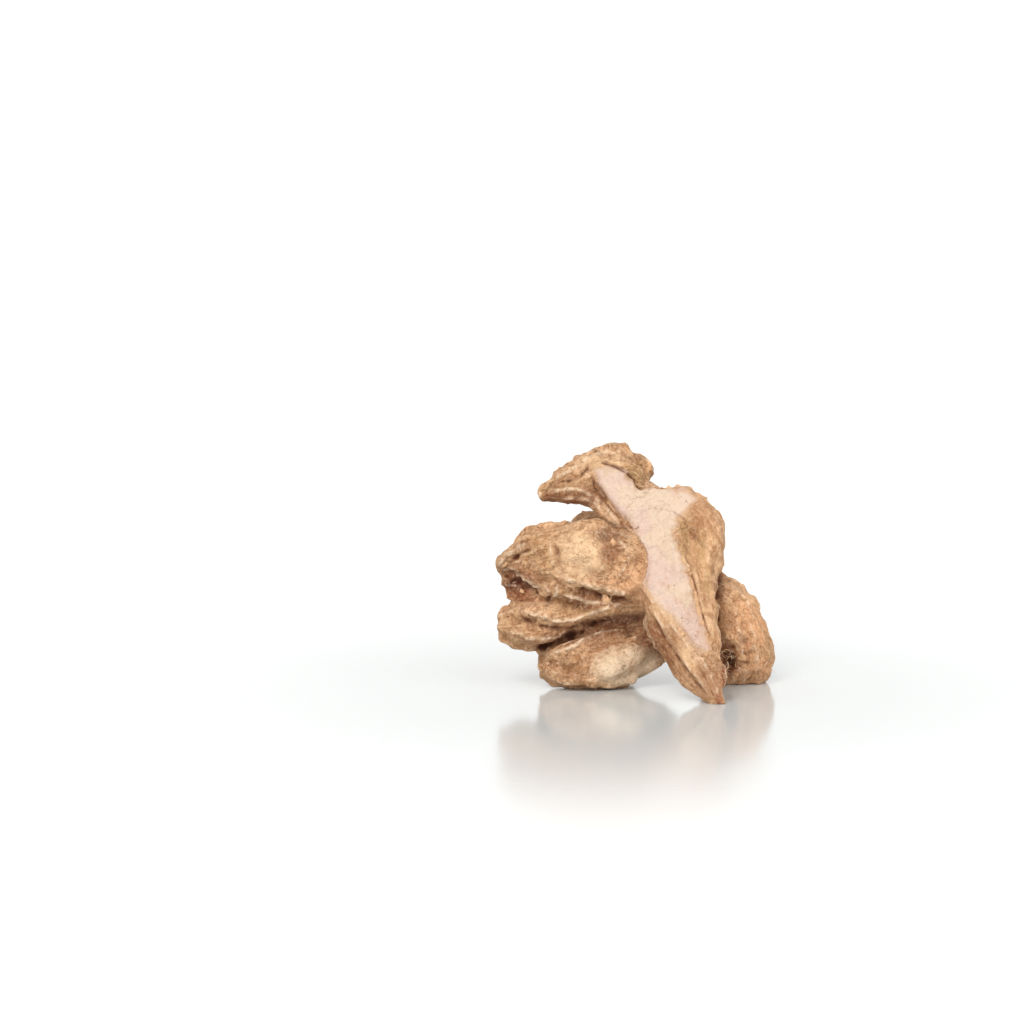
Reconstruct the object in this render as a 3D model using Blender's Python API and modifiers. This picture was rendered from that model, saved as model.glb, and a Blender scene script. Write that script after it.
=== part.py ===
"""Ginger root: one dried hand of ginger, a single grown piece of rhizome.

Metres, +Z up. The origin is the middle of the footprint, on the surface the root stands on.
The front of the root, with the long pale scraped face, looks along -Y.
Every length in the tables below is in millimetres.
"""
import math

import bmesh
import bpy
import numpy as np
from mathutils import Vector, noise

NAME = "ginger_root"
MM = 0.001

# Each finger: stations of its middle line (x, y, z), half width seen from the front, half depth.
FINGERS = {
    "leg": [
        (12.5, 4.5, 39.0, 11.5, 8.5),
        (12.8, -2.2, 28.5, 11.4, 8.0),
        (15.2, -10.6, 17.0, 8.8, 6.8),
        (20.0, -18.4, 7.4, 5.6, 5.2),
        (24.6, -25.2, -1.6, 3.2, 3.0),
    ],
    "arm": [
        (11.5, 4.0, 36.0, 9.0, 8.0),
        (7.0, 10.3, 47.0, 9.6, 8.0),
        (-1.6, 15.6, 54.6, 9.0, 7.5),
        (-9.5, 20.0, 61.0, 8.4, 6.5),
        (-13.0, 21.5, 64.0, 6.0, 5.5),
    ],
    "head_left": [
        (1.0, 20.5, 62.0, 6.0, 6.5),
        (-9.0, 19.6, 62.6, 7.8, 6.5),
        (-19.0, 16.8, 59.6, 5.4, 5.5),
        (-29.2, 14.4, 57.6, 3.0, 3.6),
    ],
    "head_top": [
        (-2.0, 20.0, 58.0, 8.0, 6.0),
        (-5.5, 21.5, 64.5, 7.6, 6.5),
        (-7.0, 21.5, 71.0, 5.6, 5.0),
    ],
    "knob": [
        (-6.0, 20.0, 63.0, 5.0, 5.0),
        (-0.6, 24.0, 63.5, 5.6, 6.0),
        (2.4, 27.0, 60.5, 5.0, 5.0),
    ],
    "shoulder": [
        (2.0, 12.0, 52.0, 7.6, 7.0),
        (10.5, 13.5, 52.8, 8.0, 7.0),
        (16.8, 13.0, 50.6, 7.6, 6.8),
        (20.2, 9.5, 42.5, 6.0, 7.0),
        (19.2, 3.0, 31.0, 4.8, 6.0),
        (19.8, -4.0, 21.0, 3.5, 4.0),
    ],
    "upper_finger": [
        (10.0, 11.0, 32.0, 9.0, 9.0),
        (-5.0, 4.8, 36.8, 10.0, 9.4),
        (-17.0, 4.0, 39.4, 11.2, 9.8),
        (-27.5, 5.5, 39.0, 10.0, 8.8),
        (-35.5, 8.0, 36.8, 7.2, 7.0),
        (-40.8, 9.0, 36.0, 5.6, 5.5),
    ],
    "upper_boss": [
        (-7.0, 5.0, 41.0, 5.0, 5.0),
        (-16.5, 2.6, 41.0, 9.8, 9.0),
        (-25.0, 5.0, 40.0, 5.0, 5.0),
    ],
    "upper_knot": [
        (1.0, 4.0, 39.0, 5.0, 5.0),
        (-4.0, 3.4, 40.6, 6.8, 6.6),
        (-9.0, 5.0, 41.0, 4.5, 4.5),
    ],
    "web": [
        (6.0, 7.0, 28.6, 7.0, 8.4),
        (-10.0, 3.6, 29.6, 7.4, 8.8),
        (-23.5, 5.0, 29.0, 5.4, 7.6),
    ],
    "middle_finger": [
        (8.0, 11.0, 24.0, 7.0, 8.0),
        (-9.0, 8.5, 24.0, 7.6, 8.5),
        (-22.0, 7.0, 21.0, 7.8, 8.8),
        (-33.0, 7.0, 18.4, 8.8, 8.4),
        (-40.8, 8.5, 18.0, 7.4, 6.4),
    ],
    "lower_finger": [
        (14.0, 14.0, 18.0, 7.0, 8.0),
        (3.5, 9.5, 13.0, 7.2, 8.5),
        (-7.0, 5.0, 8.6, 8.6, 9.2),
        (-19.0, 3.8, 7.2, 8.2, 8.6),
        (-28.6, 5.5, 8.6, 6.6, 6.0),
    ],
    "right_finger": [
        (12.0, 15.0, 34.0, 8.0, 8.0),
        (22.0, 15.5, 28.0, 7.6, 8.5),
        (28.8, 14.5, 17.6, 10.6, 9.0),
        (31.4, 13.5, 8.0, 10.2, 8.5),
        (31.6, 13.0, -2.0, 9.4, 7.0),
    ],
    "rear_finger": [
        (8.0, 16.0, 34.0, 9.0, 9.0),
        (-2.0, 23.0, 41.0, 9.0, 9.0),
        (-10.0, 25.0, 44.0, 8.6, 8.0),
        (-18.0, 26.0, 45.0, 6.5, 6.0),
    ],
    "rear_foot": [
        (6.0, 14.0, 30.0, 10.0, 9.0),
        (-3.0, 22.0, 17.0, 9.6, 9.0),
        (-8.5, 28.0, 7.0, 8.0, 8.0),
        (-10.0, 31.0, -1.8, 6.5, 6.0),
    ],
    "floor_of_slit": [
        (-20.0, 7.0, 29.0, 5.0, 6.0),
        (-30.0, 8.0, 29.8, 4.6, 5.6),
        (-38.5, 9.0, 30.2, 3.6, 4.6),
    ],
}

# The scraped face leans back: its depth is FACE_DEPTH at the floor and grows with height.
FACE_DEPTH = -27.0
FACE_LEAN = 0.62
FACE_LIMBS = ("leg", "arm", "head_left", "head_top", "shoulder", "knob")
# Outline of the scraped face seen from the front (x, z), anticlockwise from its foot.
FACE_OUTLINE = [
    (22.2, 14.9), (21.6, 17.7), (19.3, 22.7), (17.6, 28.3), (16.4, 34.4), (15.2, 37.7), (12.8, 43.2),
    (11.9, 46.9), (12.8, 50.3), (16.4, 54.2), (18.8, 57.0), (16.4, 59.8), (12.8, 59.8), (6.9, 61.4),
    (3.3, 59.8), (0.9, 60.3), (-1.5, 62.6), (-2.7, 64.6), (-5.1, 66.3), (-8.5, 66.3), (-12.6, 65.2),
    (-11.4, 60.3), (-8.5, 56.4), (-5.1, 52.5), (-1.5, 49.7), (0.9, 45.3), (1.8, 42.0), (2.1, 37.7),
    (0.9, 34.4), (4.5, 29.9), (9.9, 24.9), (13.5, 20.5), (16.4, 16.7), (18.8, 15.0),
]
FACE_SOFTNESS = 1.3
FACE_WAVE_SIZE = 9.0
FACE_WAVE_HEIGHT = 0.5
# The face is hollowed this deep, from the first to the second distance inside its outline.
FACE_HOLLOW = 0.5
FACE_HOLLOW_REACH = (1.0, 7.0)
# How squarely a point has to look out of the face to be shaved, from not at all to wholly.
FACE_TURN = (0.05, 0.45)

# Main folds of the skin seen from the front: limbs they cross, half width, height, then the
# points (x, z). A negative height is a crease.
UPPER = ("upper_finger", "upper_boss", "upper_knot")
HEAD = ("arm", "head_left", "head_top")
BAND = ("leg", "shoulder", "arm")
FOLDS = {
    "left_rim_of_face": (("leg", "arm") + UPPER, 1.2, 1.3, [
        (-0.6, 37.5), (0.4, 33.9), (6.4, 27.4), (12.2, 20.8), (16.0, 15.8), (20.5, 10.0)]),
    "leg_rim_groove": (("leg", "web"), 0.9, -1.0, [
        (3.0, 30.0), (7.6, 24.8), (12.0, 19.0), (16.2, 12.8), (20.4, 7.4)]),
    "leg_ridge": (("leg", "web") + UPPER, 1.1, 1.0, [
        (0.9, 29.0), (5.7, 24.2), (9.8, 18.9), (14.6, 12.2), (19.5, 6.3), (23.5, 2.5)]),
    "leg_groove": (("leg", "web"), 1.0, -1.3, [
        (2.0, 26.4), (5.0, 22.6), (8.4, 17.6), (12.6, 11.4), (17.6, 5.4), (21.0, 2.4)]),
    "leg_outer_ridge": (("leg", "web"), 1.1, 1.0, [
        (0.4, 26.0), (3.5, 22.0), (6.5, 16.8), (10.4, 10.8), (15.8, 4.6), (21.0, 0.8)]),
    "leg_tip_ridge": (("leg",), 1.5, 1.5, [
        (18.7, 14.4), (22.3, 7.2), (24.7, 2.2)]),
    "right_rim_of_face": (("leg", "shoulder"), 1.4, 1.0, [
        (12.4, 49.5), (12.6, 44.5), (15.8, 37.5), (17.6, 32.0), (19.3, 23.7), (22.3, 17.7),
        (24.7, 12.7), (25.6, 7.2)]),
    "shoulder_valley": (BAND, 3.6, -2.0, [
        (15.2, 50.5), (18.7, 46.1), (20.5, 41.7), (19.3, 37.3), (18.7, 31.7)]),
    "shoulder_ridge": (BAND, 2.0, 1.5, [
        (19.3, 57.8), (22.0, 54.0), (23.5, 49.4), (24.1, 43.9), (21.9, 40.0), (21.9, 33.9),
        (22.9, 28.4)]),
    "arm_crack": (HEAD, 1.2, -1.3, [
        (-13.3, 65.5), (-11.3, 58.5), (-7.0, 53.2), (-1.8, 49.6)]),
    "arm_ridge": (HEAD, 1.6, 1.5, [
        (-27.0, 58.8), (-20.4, 59.4), (-14.5, 58.4), (-10.0, 54.8), (-6.2, 51.0), (-3.4, 47.0)]),
    "arm_rim": (HEAD, 1.5, 1.3, [
        (-24.6, 56.5), (-19.2, 56.8), (-13.3, 55.8), (-9.0, 52.0), (-5.8, 48.8), (-5.0, 45.5)]),
    "head_crease": (HEAD, 1.5, -1.5, [
        (-26.9, 60.4), (-20.4, 61.8), (-16.8, 63.6), (-13.3, 66.5)]),
    "head_rim": (HEAD, 1.7, 1.2, [
        (-28.1, 60.0), (-22.8, 63.3), (-18.0, 65.8), (-13.0, 68.8), (-7.0, 70.0), (-2.0, 67.5)]),
    "upper_ledge": (UPPER + ("web",), 1.9, 2.2, [
        (-24.0, 35.6), (-21.0, 35.3), (-14.5, 33.0), (-9.7, 31.9), (-5.0, 30.6), (0.9, 29.2)]),
    "under_ledge": (UPPER + ("web", "middle_finger"), 1.8, -2.2, [
        (-19.0, 32.0), (-13.3, 29.9), (-8.5, 28.7), (-2.6, 26.9), (0.9, 25.9)]),
    "upper_slit": (UPPER + ("middle_finger",), 1.6, -3.6, [
        (-42.0, 34.2), (-38.2, 33.5), (-33.5, 31.1), (-27.7, 28.7)]),
    "upper_crease": (UPPER, 2.2, -1.0, [
        (-24.6, 50.0), (-23.9, 46.0), (-23.1, 42.5), (-22.8, 37.7), (-20.4, 34.6)]),
    "upper_left_crease": (UPPER, 1.8, -0.9, [
        (-34.5, 45.0), (-32.9, 42.2), (-32.4, 38.0), (-28.7, 35.0), (-25.3, 32.0)]),
    "upper_dip": (UPPER + ("arm",), 2.0, -1.8, [
        (-9.6, 47.6), (-8.9, 45.0), (-7.9, 42.5), (-7.9, 39.6)]),
    "dip_arc": (UPPER + ("arm",), 1.4, 1.2, [
        (-6.0, 47.4), (-3.4, 44.4), (-2.4, 40.6), (-4.6, 36.6), (-9.0, 34.8)]),
    "middle_fold": (UPPER + ("middle_finger", "web"), 1.8, 1.9, [
        (-38.6, 25.9), (-34.0, 24.3), (-28.7, 23.1), (-22.8, 21.9), (-18.0, 22.3), (-13.9, 23.9),
        (-8.5, 25.7), (-2.6, 26.6)]),
    "middle_crease": (("middle_finger",), 1.5, -1.3, [
        (-35.6, 22.0), (-32.0, 20.6), (-28.7, 19.9), (-22.8, 18.9), (-18.0, 19.1), (-13.9, 20.7),
        (-8.5, 22.9)]),
    "middle_wrinkle": (("middle_finger",), 1.5, 1.2, [
        (-38.0, 18.0), (-31.0, 16.4), (-24.0, 15.8), (-17.0, 17.6)]),
    "lower_slit": (("middle_finger", "lower_finger"), 1.5, -3.0, [
        (-30.0, 11.4), (-28.1, 12.1), (-21.6, 15.2), (-15.7, 18.6), (-10.9, 21.0), (-5.0, 22.5)]),
    "lower_ridge": (("lower_finger",), 1.7, 1.6, [
        (-28.9, 9.8), (-20.4, 13.2), (-14.5, 16.2), (-8.5, 18.0), (-2.0, 18.6)]),
    "lower_crease": (("lower_finger",), 1.6, -0.9, [
        (-28.1, 8.3), (-22.8, 7.7), (-16.8, 7.9), (-12.3, 10.9), (-7.5, 13.9), (-2.8, 15.9)]),
    "right_ridge_1": (("right_finger",), 1.6, 1.5, [
        (28.6, 25.4), (30.0, 21.4), (30.6, 16.7), (31.2, 11.3), (30.0, 6.5)]),
    "right_ridge_2": (("right_finger",), 1.6, 1.5, [
        (34.0, 22.5), (34.8, 19.5), (35.4, 15.3), (34.8, 10.5), (35.4, 4.3)]),
    "right_groove": (("right_finger",), 1.6, -1.0, [
        (32.2, 19.5), (32.9, 15.0), (33.0, 10.5), (32.6, 5.3)]),
    "right_border": (("right_finger",), 1.5, -1.4, [
        (26.8, 34.8), (25.3, 30.0), (24.7, 24.4), (25.4, 16.0), (26.4, 9.0)]),
}
# Share of a fold's length over which each of its ends fades out.
FOLD_FADE = 0.12
# How squarely a point has to look forward to take a fold, from not at all to wholly.
FOLD_TURN = (-0.2, 0.35)
# Wrinkles lose this share of their height on a fold, and less out to some of its half widths.
FOLD_CALM = 0.6
FOLD_QUIET = 2.0
# Share of the wrinkles that the scraped face lacks.
FACE_BARENESS = 0.85
FACE_BARE_EDGE = (-1.3, 0.5)

# Long wrinkles that run along every finger, crumples across them, rings round the finger and
# lumps. A wrinkle's valley is at most WRINKLE_VALLEY of its height deep.
MEAN_RADIUS = 8.0
WRINKLE_PITCH = 4.6
WRINKLE_LENGTH = 17.0
WRINKLE_HEIGHT = 1.9
WRINKLE_SHARPNESS = 2.4
WRINKLE_VALLEY = 0.55
WRINKLE_LEVEL = 0.32
# Moves the wrinkles of each finger on, so that no two fingers are alike.
LIMB_SHIFT = 5.3
CRUMPLE_SIZE = 5.2
CRUMPLE_HEIGHT = 1.1
LUMP_SIZE = 11.0
LUMP_HEIGHT = 1.8
LUMP_SHIFT = 21.7
RING_PITCH = 9.0
RING_HEIGHT = 0.22
RING_SHARPNESS = 8
RING_WAVER = 0.4
RING_WAVER_SIZE = 14.0
SEED = 7.0

# A finger's ends are blunt where this power of the ball's ring radius is small.
BLUNTNESS = 0.42
FINGER_SIDES = 40
FINGER_RINGS = 36
# Points worked out along a finger's middle line, along it again to find the nearest finger, and
# along a fold.
FINGER_STEPS = 200
LIMB_STEPS = 60
FOLD_STEPS = 80
FUSE_VOXEL = 0.9
FUSE_EVENING = 0.6
FUSE_ROUNDS = 7
SKIN_VOXEL = 0.8
SKIN_EVENING = 0.4
SKIN_ROUNDS = 2
TRIANGLES = 11000
GROUND = 0.25

SKIN_COLOUR = (0.60, 0.36, 0.19, 1.0)
SKIN_ROUGHNESS = 0.82


def clear_scene():
    for item in list(bpy.data.objects):
        bpy.data.objects.remove(item, do_unlink=True)


def smooth_curve(stations, count):
    """Catmull-Rom curve through the stations, as count rows."""
    points = np.array(stations, dtype=float)
    points = np.vstack([2 * points[0] - points[1], points, 2 * points[-1] - points[-2]])
    spans = len(points) - 3
    position = np.linspace(0, spans - 1e-9, count)
    index = position.astype(int)
    step = (position - index)[:, None]
    a, b, c, d = (points[index + k] for k in range(4))
    return 0.5 * (2 * b + (c - a) * step + (2 * a - 5 * b + 4 * c - d) * step ** 2
                  + (3 * b - a - 3 * c + d) * step ** 3)


def smoothstep(low, high, value):
    ramp = np.clip((value - low) / (high - low), 0, 1)
    return ramp * ramp * (3 - 2 * ramp)


def finger(stations, collection):
    """A sphere drawn out along the finger's middle line."""
    work = bmesh.new()
    bmesh.ops.create_uvsphere(work, u_segments=FINGER_SIDES, v_segments=FINGER_RINGS, radius=1.0)
    ball = np.array([v.co[:] for v in work.verts])
    line = smooth_curve(stations, FINGER_STEPS)
    centre = line[:, :3]
    along = np.gradient(centre, axis=0)
    along /= np.linalg.norm(along, axis=1)[:, None]
    depth = np.array([0.0, 1.0, 0.0]) - along * along[:, 1:2]
    depth /= np.linalg.norm(depth, axis=1)[:, None]
    side = np.cross(along, depth)
    lengths = np.concatenate([[0], np.cumsum(np.linalg.norm(np.diff(centre, axis=0), axis=1))])
    want = (ball[:, 2] + 1) / 2 * lengths[-1]
    row = np.interp(want, lengths, np.arange(len(lengths)))
    rows = np.arange(len(lengths))

    def at(table):
        return np.stack([np.interp(row, rows, table[:, k]) for k in range(table.shape[1])], axis=1)

    ring = np.hypot(ball[:, 0], ball[:, 1])
    swell = np.where(ring > 1e-6, ring ** BLUNTNESS / np.maximum(ring, 1e-6), 0.0)
    size = at(line[:, 3:5])
    place = (at(centre) + at(side) * (ball[:, 0] * swell * size[:, 0])[:, None]
             + at(depth) * (ball[:, 1] * swell * size[:, 1])[:, None])
    for vert, co in zip(work.verts, place):
        vert.co = Vector(co) * MM
    mesh = bpy.data.meshes.new("finger")
    work.to_mesh(mesh)
    work.free()
    item = bpy.data.objects.new("finger", mesh)
    collection.objects.link(item)
    return item


def evaluated_mesh(item):
    graph = bpy.context.evaluated_depsgraph_get()
    return bpy.data.meshes.new_from_object(item.evaluated_get(graph), depsgraph=graph)


def with_modifier(item, kind, **values):
    """Adds one modifier, takes the evaluated mesh and drops the modifier again."""
    modifier = item.modifiers.new(kind, kind)
    for key, value in values.items():
        setattr(modifier, key, value)
    mesh = evaluated_mesh(item)
    item.modifiers.clear()
    old = item.data
    item.data = mesh
    bpy.data.meshes.remove(old)


def fuse(items, collection):
    """All fingers in one mesh, grown together where they meet."""
    work = bmesh.new()
    for item in items:
        work.from_mesh(item.data)
        bpy.data.objects.remove(item, do_unlink=True)
    mesh = bpy.data.meshes.new(NAME)
    work.to_mesh(mesh)
    work.free()
    body = bpy.data.objects.new(NAME, mesh)
    collection.objects.link(body)
    with_modifier(body, "REMESH", mode="VOXEL", voxel_size=FUSE_VOXEL * MM)
    with_modifier(body, "SMOOTH", factor=FUSE_EVENING, iterations=FUSE_ROUNDS)
    return body


def points_of(mesh):
    """Vertex places and normals in millimetres."""
    count = len(mesh.vertices)
    place = np.empty(count * 3)
    normal = np.empty(count * 3)
    mesh.vertices.foreach_get("co", place)
    mesh.vertices.foreach_get("normal", normal)
    return place.reshape(-1, 3) / MM, normal.reshape(-1, 3)


def move_points(mesh, place):
    """Sets the vertex places, given in millimetres."""
    mesh.vertices.foreach_set("co", (place * MM).ravel())
    mesh.update()


def limb_coordinates(place):
    """For each point: number of its nearest finger, way along it in mm and angle round it.

    A finger is near where the distance to its middle line is small beside its own radius.
    """
    best = np.full(len(place), np.inf)
    owner = np.zeros(len(place), dtype=int)
    way = np.zeros(len(place))
    angle = np.zeros(len(place))
    everyone = np.arange(len(place))
    for number, stations in enumerate(FINGERS.values()):
        line = smooth_curve(stations, LIMB_STEPS)
        centre = line[:, :3]
        steps = np.concatenate([[0], np.cumsum(np.linalg.norm(np.diff(centre, axis=0), axis=1))])
        gap = place[:, None, :] - centre[None, :, :]
        share = np.linalg.norm(gap, axis=2) / line[None, :, 3:5].mean(axis=2)
        nearest = share.argmin(axis=1)
        score = share[everyone, nearest]
        closer = score < best
        best[closer] = score[closer]
        owner[closer] = number
        way[closer] = steps[nearest[closer]]
        along = np.gradient(centre, axis=0)
        along /= np.linalg.norm(along, axis=1)[:, None]
        tangent = along[nearest]
        depth = np.array([0.0, 1.0, 0.0]) - tangent * tangent[:, 1:2]
        depth /= np.linalg.norm(depth, axis=1)[:, None]
        side = np.cross(tangent, depth)
        offset = gap[everyone, nearest]
        turn = np.arctan2((offset * depth).sum(axis=1), (offset * side).sum(axis=1))
        angle[closer] = turn[closer]
    return owner, way, angle


def on_limbs(owner, limbs):
    """True for the points whose nearest finger is one of these."""
    names = list(FINGERS)
    return np.isin(owner, [names.index(limb) for limb in limbs])


def path_distance(flat, points):
    """Distance of front view points to a smooth path, and the share of the way along it."""
    line = smooth_curve(points, FOLD_STEPS)
    start = line[:-1]
    run = line[1:] - start
    offset = flat[:, None, :] - start[None]
    share = np.clip((offset * run[None]).sum(axis=2) / (run ** 2).sum(axis=1)[None], 0, 1)
    gap = np.linalg.norm(offset - share[..., None] * run[None], axis=2)
    nearest = gap.argmin(axis=1)
    rows = np.arange(len(flat))
    return gap[rows, nearest], (nearest + share[rows, nearest]) / len(run)


def inside_distance(flat, outline):
    """Distance to a closed outline, positive inside."""
    ring = np.array(outline + outline[:1], dtype=float)
    start, run = ring[:-1], np.diff(ring, axis=0)
    offset = flat[:, None, :] - start[None]
    share = np.clip((offset * run[None]).sum(axis=2) / (run ** 2).sum(axis=1)[None], 0, 1)
    gap = np.linalg.norm(offset - share[..., None] * run[None], axis=2).min(axis=1)
    z = flat[:, 1:2]
    crosses = (start[None, :, 1] > z) != (ring[None, 1:, 1] > z)
    rise = np.where(np.abs(run[:, 1]) < 1e-9, 1e-9, run[:, 1])
    at_x = start[None, :, 0] + (z - start[None, :, 1]) * (run[:, 0] / rise)[None]
    odd = (crosses & (flat[:, :1] < at_x)).sum(axis=1) % 2 == 1
    return np.where(odd, gap, -gap)


def noise_at(points):
    return np.array([noise.noise(Vector(p)) for p in points])


def shave_face(mesh):
    """Planes the scraped face flat, with a slight hollow."""
    place, normal = points_of(mesh)
    owner = limb_coordinates(place)[0]
    front = np.array([0.0, -1.0, FACE_LEAN]) / math.hypot(1.0, FACE_LEAN)
    inside = inside_distance(place[:, [0, 2]], FACE_OUTLINE)
    mask = (smoothstep(-FACE_SOFTNESS, FACE_SOFTNESS, inside) * smoothstep(*FACE_TURN, normal @ front)
            * on_limbs(owner, FACE_LIMBS))
    waves = FACE_WAVE_HEIGHT * noise_at(place / FACE_WAVE_SIZE + SEED)
    hollow = FACE_HOLLOW * smoothstep(*FACE_HOLLOW_REACH, inside)
    target = FACE_DEPTH + FACE_LEAN * place[:, 2] + waves + hollow
    place[:, 1] += (target - place[:, 1]) * mask
    move_points(mesh, place)


def fold_lift(flat, owner, facing):
    """Height of the folds at each point, and how near it is to one, from 0 to 1."""
    lift = np.zeros(len(flat))
    near = np.zeros(len(flat))
    for limbs, width, height, points in FOLDS.values():
        gap, share = path_distance(flat, points)
        reach = (smoothstep(0.0, FOLD_FADE, share) * smoothstep(0.0, FOLD_FADE, 1 - share)
                 * on_limbs(owner, limbs) * facing)
        lift += height * np.exp(-(gap / width) ** 2) * reach
        near = np.maximum(near, np.exp(-(gap / (FOLD_QUIET * width)) ** 2) * reach)
    return lift, near


def creased(points):
    """Sharp ridges where smooth noise passes through zero, with flattened valleys between."""
    return np.maximum(1 - WRINKLE_SHARPNESS * np.abs(noise_at(points)), -WRINKLE_VALLEY) - WRINKLE_LEVEL


def raise_folds(mesh):
    """Ridges and creases of the front, then wrinkles, crumples, rings and lumps all over."""
    place, normal = points_of(mesh)
    owner, way, angle = limb_coordinates(place)
    flat = place[:, [0, 2]]
    facing = smoothstep(*FOLD_TURN, -normal[:, 1])
    lift, near = fold_lift(flat, owner, facing)
    bare = 1 - FACE_BARENESS * smoothstep(*FACE_BARE_EDGE, inside_distance(flat, FACE_OUTLINE)) * facing
    girth = MEAN_RADIUS / WRINKLE_PITCH
    spot = np.stack([way / WRINKLE_LENGTH + LIMB_SHIFT * owner, np.cos(angle) * girth,
                     np.sin(angle) * girth + SEED], axis=1)
    rough = WRINKLE_HEIGHT * creased(spot) + CRUMPLE_HEIGHT * creased(place / CRUMPLE_SIZE - 2 * SEED)
    waver = RING_WAVER * noise_at(place / RING_WAVER_SIZE - SEED)
    ring = np.cos(2 * math.pi * (way / RING_PITCH + waver)) ** RING_SHARPNESS
    lump = noise_at(place / LUMP_SIZE + LUMP_SHIFT)
    lift += bare * (rough * (1 - FOLD_CALM * near) + RING_HEIGHT * ring + LUMP_HEIGHT * lump)
    move_points(mesh, place + normal * lift[:, None])


def thin_out(body):
    """Fewer triangles, the most where the form turns."""
    triangles = sum(len(face.vertices) - 2 for face in body.data.polygons)
    with_modifier(body, "DECIMATE", ratio=TRIANGLES / triangles, use_collapse_triangulate=True)


def flatten_feet(body):
    """Cuts the small flats that the root stands on and closes them."""
    work = bmesh.new()
    work.from_mesh(body.data)
    everything = work.verts[:] + work.edges[:] + work.faces[:]
    cut = bmesh.ops.bisect_plane(work, geom=everything, dist=1e-7, plane_co=(0, 0, GROUND * MM),
                                 plane_no=(0, 0, 1), clear_inner=True)
    rim = [e for e in cut["geom_cut"] if isinstance(e, bmesh.types.BMEdge)]
    bmesh.ops.holes_fill(work, edges=rim, sides=0)
    bmesh.ops.triangulate(work, faces=[f for f in work.faces if len(f.verts) > 3])
    bmesh.ops.recalc_face_normals(work, faces=work.faces[:])
    work.to_mesh(body.data)
    work.free()


def centre_on_base(body):
    """Moves the middle of the footprint's box to the origin."""
    place = points_of(body.data)[0]
    low, high = place.min(axis=0), place.max(axis=0)
    foot = np.array([(low[0] + high[0]) / 2, (low[1] + high[1]) / 2, low[2]])
    move_points(body.data, place - foot)


def skin_material():
    skin = bpy.data.materials.new("dried_skin")
    skin.use_nodes = True
    shader = skin.node_tree.nodes["Principled BSDF"]
    shader.inputs["Base Color"].default_value = SKIN_COLOUR
    shader.inputs["Roughness"].default_value = SKIN_ROUGHNESS
    shader.inputs["Metallic"].default_value = 0.0
    return skin


def main():
    clear_scene()
    collection = bpy.data.collections.new(NAME)
    bpy.context.scene.collection.children.link(collection)
    body = fuse([finger(stations, collection) for stations in FINGERS.values()], collection)
    shave_face(body.data)
    with_modifier(body, "REMESH", mode="VOXEL", voxel_size=SKIN_VOXEL * MM)
    raise_folds(body.data)
    with_modifier(body, "REMESH", mode="VOXEL", voxel_size=SKIN_VOXEL * MM)
    with_modifier(body, "SMOOTH", factor=SKIN_EVENING, iterations=SKIN_ROUNDS)
    thin_out(body)
    flatten_feet(body)
    centre_on_base(body)
    body.data.materials.clear()
    body.data.materials.append(skin_material())
    body.data.shade_smooth()


main()
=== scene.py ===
"""Looks of the ginger root: fine skin, scraped face, flakes, rootlets, fibres, floor and light.

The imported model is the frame. Lengths in the tables are in millimetres, in the frame in which the
root was drawn; FOOT moves them to the row frame, whose origin is the middle of the footprint.
"""

import math

import bmesh
import bpy
import numpy as np
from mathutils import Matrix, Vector, noise


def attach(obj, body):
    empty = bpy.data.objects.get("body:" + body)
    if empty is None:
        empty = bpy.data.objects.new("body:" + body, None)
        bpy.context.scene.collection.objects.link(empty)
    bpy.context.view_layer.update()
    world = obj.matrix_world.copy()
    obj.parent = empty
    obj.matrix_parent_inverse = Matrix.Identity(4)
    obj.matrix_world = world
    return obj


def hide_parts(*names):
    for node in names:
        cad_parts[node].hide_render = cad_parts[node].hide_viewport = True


NODE = "ginger_root"
BODY = "root"
MM = 0.001
FOOT = np.array([0.565, 5.083, 0.25])

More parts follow.
